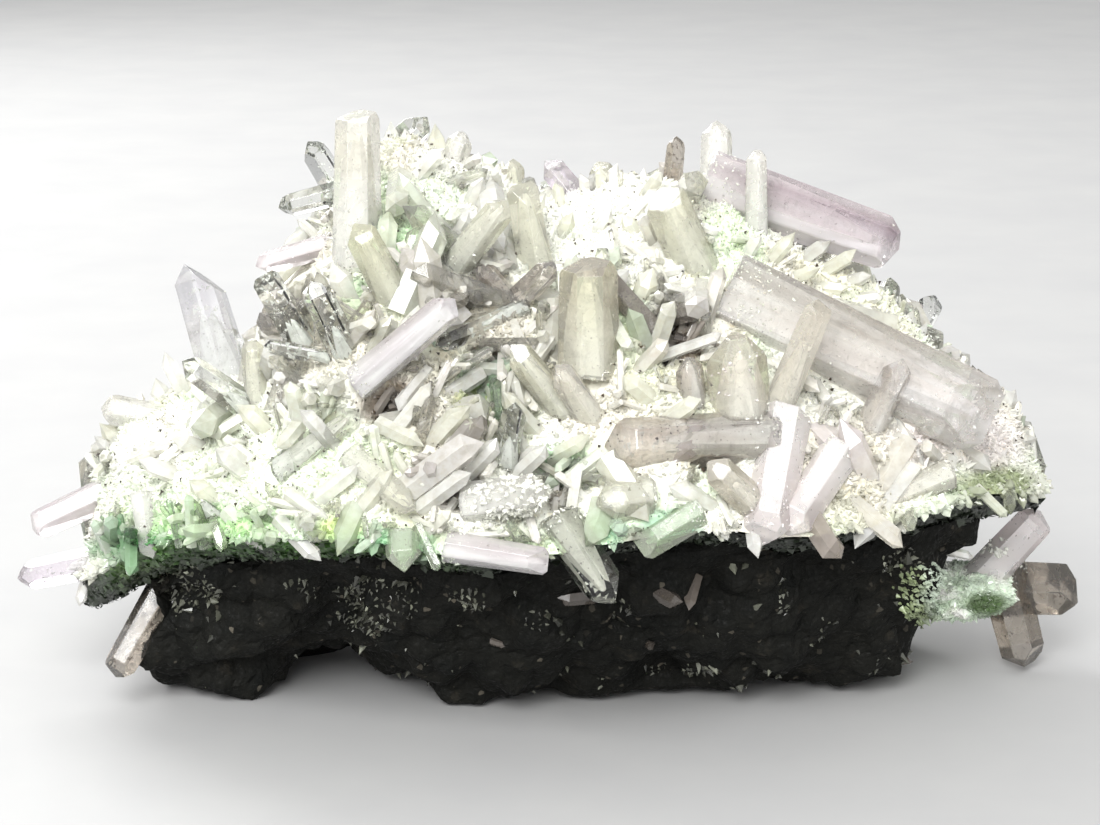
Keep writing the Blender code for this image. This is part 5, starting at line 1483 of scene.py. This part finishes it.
# ---------------------------------------------------------------------------------- the host rock
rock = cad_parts["host_rock"].copy()
rock.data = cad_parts["host_rock"].data.copy()
for key in list(rock.keys()):
    del rock[key]
rock.parent = None
rock.matrix_world = Matrix.Identity(4)
rock.name = "dark_rock"
bpy.context.scene.collection.objects.link(rock)
rock.hide_render = rock.hide_viewport = False
remesh = rock.modifiers.new("remesh", "REMESH")
remesh.mode = "VOXEL"
remesh.voxel_size = 0.00095
deps = bpy.context.evaluated_depsgraph_get()
mesh = bpy.data.meshes.new_from_object(rock.evaluated_get(deps))
rock.modifiers.clear()
rock.data = mesh
count = len(mesh.vertices)
co = np.empty(count * 3)
no = np.empty(count * 3)
mesh.vertices.foreach_get("co", co)
mesh.vertex_normals.foreach_get("vector", no)
co, no = co.reshape(-1, 3) / MM, no.reshape(-1, 3)
rough = 2.6 * smooth_noise(co, 10.0, 41) + 4.2 * (0.45 - cells(co, 9.0, 42)) \
    + 2.0 * (0.45 - cells(co, 3.8, 45)) + 0.6 * (0.5 - cells(co, 1.4, 43)) \
    + 0.25 * smooth_noise(co, 0.9, 44)
lump_at = np.array(at_plane(958, 591, 0) - MOVED)
by_lump = np.clip((15.5 - np.linalg.norm(co - lump_at, axis=1)) / 4.0, 0, 1)
rough = rough * (1 - by_lump) - 1.2 * by_lump
flatness = np.clip((co[:, 2] - 0.2) / 2.0, 0, 1)
top_gap = np.clip((30.0 - co[:, 2]) / 4.0, 0.25, 1)
co += no * (rough * flatness * top_gap)[:, None]
co[:, 2] = np.maximum(co[:, 2], 0.0)
mesh.vertices.foreach_set("co", (co * MM).ravel())
mesh.update()
mesh.materials.clear()
mesh.materials.append(ROCK)
for p in mesh.polygons:
    p.use_smooth = False
place(rock, "host_rock", "host_rock")
print("rock faces", len(mesh.polygons))

# Patches of druse on the rock, on the drawing: centre u, v, half width, half height. Their grains and the few points on
# the rock are tinted dark grey-brown, partly their colour and partly painted shade, as on the rock
ROCK_DRUSE = [(186, 588, 32, 24), (378, 606, 42, 28), (660, 670, 12, 8), (697, 670, 18, 8), (745, 694, 14, 13),
              (782, 600, 9, 18), (857, 647, 8, 7), (540, 620, 20, 10), (300, 590, 16, 10), (470, 600, 20, 12),
              (900, 560, 24, 14), (620, 610, 14, 10)]
seen = np.flatnonzero((co[:, 2] > 1.2) & (co[:, 2] < 27.0) & (no[:, 2] < 0.75))
pick = rng.choice(seen, min(len(seen), 16000), replace=False)
where, n = co[pick], no[pick]
u, v, _ = on_drawing(where + np.array(MOVED))
patchy = np.clip((smooth_noise(where, 6.0, 81) - 0.30) * 5, 0, 1) * 0.22
for pu, pv, wide_, tall in ROCK_DRUSE:
    inside = ((u - pu) / wide_) ** 2 + ((v - pv) / tall) ** 2 + 0.8 * smooth_noise(where, 2.5, 82) < 1.0
    patchy = np.where(inside & (n[:, 1] < 0.2), 0.75, patchy)
keep = rng.uniform(0, 1, len(where)) < np.maximum(patchy, 0.004)
where, n, patchy = where[keep] + np.array(MOVED), n[keep], patchy[keep]
wide = np.clip(rng.lognormal(math.log(0.62), 0.4, len(where)), 0.25, 1.6)
points = pyramids(where, lean_out(n, 0.5, 0.2), wide, wide * rng.uniform(0.5, 1.1, len(where)), wide * 0.4)
tone = np.array((0.095, 0.098, 0.078)) * rng.lognormal(0.0, 0.6, (len(where), 1))
pyramid_piece("rock_druse", points, np.clip(tone, 0.008, 0.7), "host_rock", GRAINS)
pick = rng.choice(seen, 12, replace=False)
where, n = co[pick] + np.array(MOVED), no[pick]
wide = rng.uniform(1.0, 2.4, len(pick))
points = spikes(where, lean_out(n, 0.6, 0.3), wide, wide * rng.uniform(0.8, 1.7, len(pick)), wide * 0.9,
                ragged=0.12)
points[:, :, 2] = np.maximum(points[:, :, 2], 0.15)
spike_piece("rock_smoky_points", points, np.array((0.15, 0.13, 0.115)) * rng.uniform(0.5, 1.5, (len(pick), 1)),
            "quartz_smoky", POINTS)

# ------------------------------------------------------------------------- the lump at lower right
centre = at_plane(958, 591, 0)
bm = bmesh.new()
bmesh.ops.create_icosphere(bm, subdivisions=6, radius=1.0)
for v in bm.verts:
    k = v.co.normalized()
    r = 1 + 0.16 * noise.noise(k * 1.7 + Vector((3, 1, 2))) + 0.08 * noise.noise(k * 4.3)
    p = Vector((k.x * 8.6 * r, k.y * 7.5 * r, k.z * 5.0 * r))
    p -= k * (1.1 - 0.5 * noise.noise(p / 2.0) - 0.45 * (0.5 - noise.voronoi(p / 1.4)[0][0]))
    v.co = p + centre
verts = np.array([v.co for v in bm.verts])
lump_faces = [[v.index for v in f.verts] for f in bm.faces]
lump_normals = np.array([(v.co - centre).normalized() for v in bm.verts])
bm.free()


# olive_and_shade: the left and lower edges olive and darker, partly olive colour and partly painted shade; sunk_shade:
# a patch painted dark green, painted shade of a pit
def lump_tint(points):
    u, v, _ = on_drawing(points)
    mid = smooth_noise(points, 2.5, 51)[:, None]
    olive_and_shade = np.clip((930 - u) / 14 + np.clip((v - 603) / 14, 0, 1) + 0.8 * mid[:, 0], 0, 1)[:, None]
    sunk_shade = np.clip(1.3 - ((u - 986) / 26) ** 2 - ((v - 604) / 13) ** 2, 0, 1)[:, None]
    tone_ = np.array((0.78, 0.91, 0.75)) * (1 - olive_and_shade) + np.array((0.36, 0.44, 0.23)) * olive_and_shade
    tone_ = tone_ * (1 - sunk_shade) + np.array((0.08, 0.14, 0.045)) * sunk_shade
    return np.clip(tone_ * (1 + 0.25 * mid), 0.02, 0.98)


mesh_from("lump_ground", verts, lump_faces, DRUSE, "green_druse", ["lower_right_druse_lump"],
          tint=lump_tint(verts))
pick = rng.choice(len(verts), 3000, replace=False)
pick = pick[clearance(verts[pick]) > -0.3]
wide = np.clip(rng.lognormal(math.log(0.74), 0.3, len(pick)), 0.4, 1.3)
points = pyramids(verts[pick], lean_out(lump_normals[pick], 0.35, 0.3), wide,
                  wide * rng.uniform(0.35, 0.75, len(pick)), wide * 0.35)
tone = lump_tint(verts[pick])
# the same druse on the rock beside it
rock_at = co + np.array(MOVED)
u, v, _ = on_drawing(rock_at)
beside = ((u - 924) / 26) ** 2 + ((v - 594) / 30) ** 2 + 0.7 * smooth_noise(rock_at, 3.0, 83) < 1.0
beside = np.flatnonzero(beside & (no[:, 1] < 0.3) & (rock_at[:, 2] > 1.0))
beside = np.concatenate([beside, beside, beside])
more = rock_at[beside] + rng.normal(0, 0.4, (len(beside), 3))
wide = np.clip(rng.lognormal(math.log(0.62), 0.3, len(beside)), 0.35, 1.1)
points = np.concatenate([points, pyramids(more, lean_out(no[beside], 0.35, 0.3), wide,
                                          wide * rng.uniform(0.35, 0.75, len(beside)), wide * 0.6)])
tone = np.concatenate([tone, lump_tint(more) * rng.uniform(0.55, 1.0, (len(more), 1))])
print("lump points", len(points))
pyramid_piece("lump_points", points, np.clip(tone * 1.05 + 0.03, 0, 0.97), "green_druse", GRAINS)

# ----------------------------------------------------------------------------- floor, light, camera
bm = bmesh.new()
bmesh.ops.create_grid(bm, x_segments=2, y_segments=2, size=3.0)
mesh = bpy.data.meshes.new("floor")
bm.to_mesh(mesh)
bm.free()
mat, tree, shader = new_material("floor")
tree.links.new(ramp(tree, noise_at(tree, 30.0, 4.0), [(0.3, (0.38, 0.38, 0.38)), (0.7, (0.405, 0.405, 0.40))]),
               shader.inputs["Base Color"])
shader.inputs["Roughness"].default_value = 0.7
mesh.materials.append(mat)
floor = bpy.data.objects.new("floor", mesh)
bpy.context.scene.collection.objects.link(floor)
floor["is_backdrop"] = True

world = bpy.data.worlds.new("studio")
bpy.context.scene.world = world
world.use_nodes = True
back = world.node_tree.nodes["Background"]
wt = world.node_tree
space = add(wt, "ShaderNodeTexCoord")
tilt = add(wt, "ShaderNodeVectorMath", {0: space.outputs["Generated"], 1: (-0.22, -0.62, 0.75)},
           operation="DOT_PRODUCT")
sky = ramp(wt, add(wt, "ShaderNodeMapRange", {0: tilt.outputs["Value"], 1: -1.0, 2: 1.0}).outputs[0],
           [(0.0, (0.30, 0.30, 0.31)), (0.45, (0.48, 0.485, 0.49)), (0.70, (0.95, 0.95, 0.95)),
            (1.0, (1.0, 1.0, 1.0))])
wt.links.new(sky, back.inputs["Color"])
back.inputs["Strength"].default_value = 1.2


def area_light(name, where, aim, size, power, colour=(1, 1, 1)):
    lamp = bpy.data.lights.new(name, "AREA")
    lamp.size = size
    lamp.energy = power
    lamp.color = colour
    obj = bpy.data.objects.new(name, lamp)
    obj.location = where
    obj.rotation_euler = (Vector(aim) - Vector(where)).to_track_quat("-Z", "Y").to_euler()
    bpy.context.scene.collection.objects.link(obj)
    return obj


area_light("key", (-0.17, -0.70, 0.62), (0, 0, 0.04), 0.55, 11.5)
area_light("rim", (-0.40, 0.62, 0.60), (0, 0, 0.05), 0.5, 7.0)

camera = bpy.data.cameras.new("camera")
camera.lens = 36.0 * VIEW_SCALE / 1100.0
camera.sensor_width = 36.0
camera.clip_start = 0.01
cam = bpy.data.objects.new("camera", camera)
cam.location = (VIEW_EYE - MOVED) * MM
cam.rotation_euler = (math.radians(90 - 14.5), 0, 0)
bpy.context.scene.collection.objects.link(cam)
bpy.context.scene.camera = cam
bpy.context.scene.view_settings.view_transform = "Standard"
bpy.context.scene.view_settings.look = "None"

low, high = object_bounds()
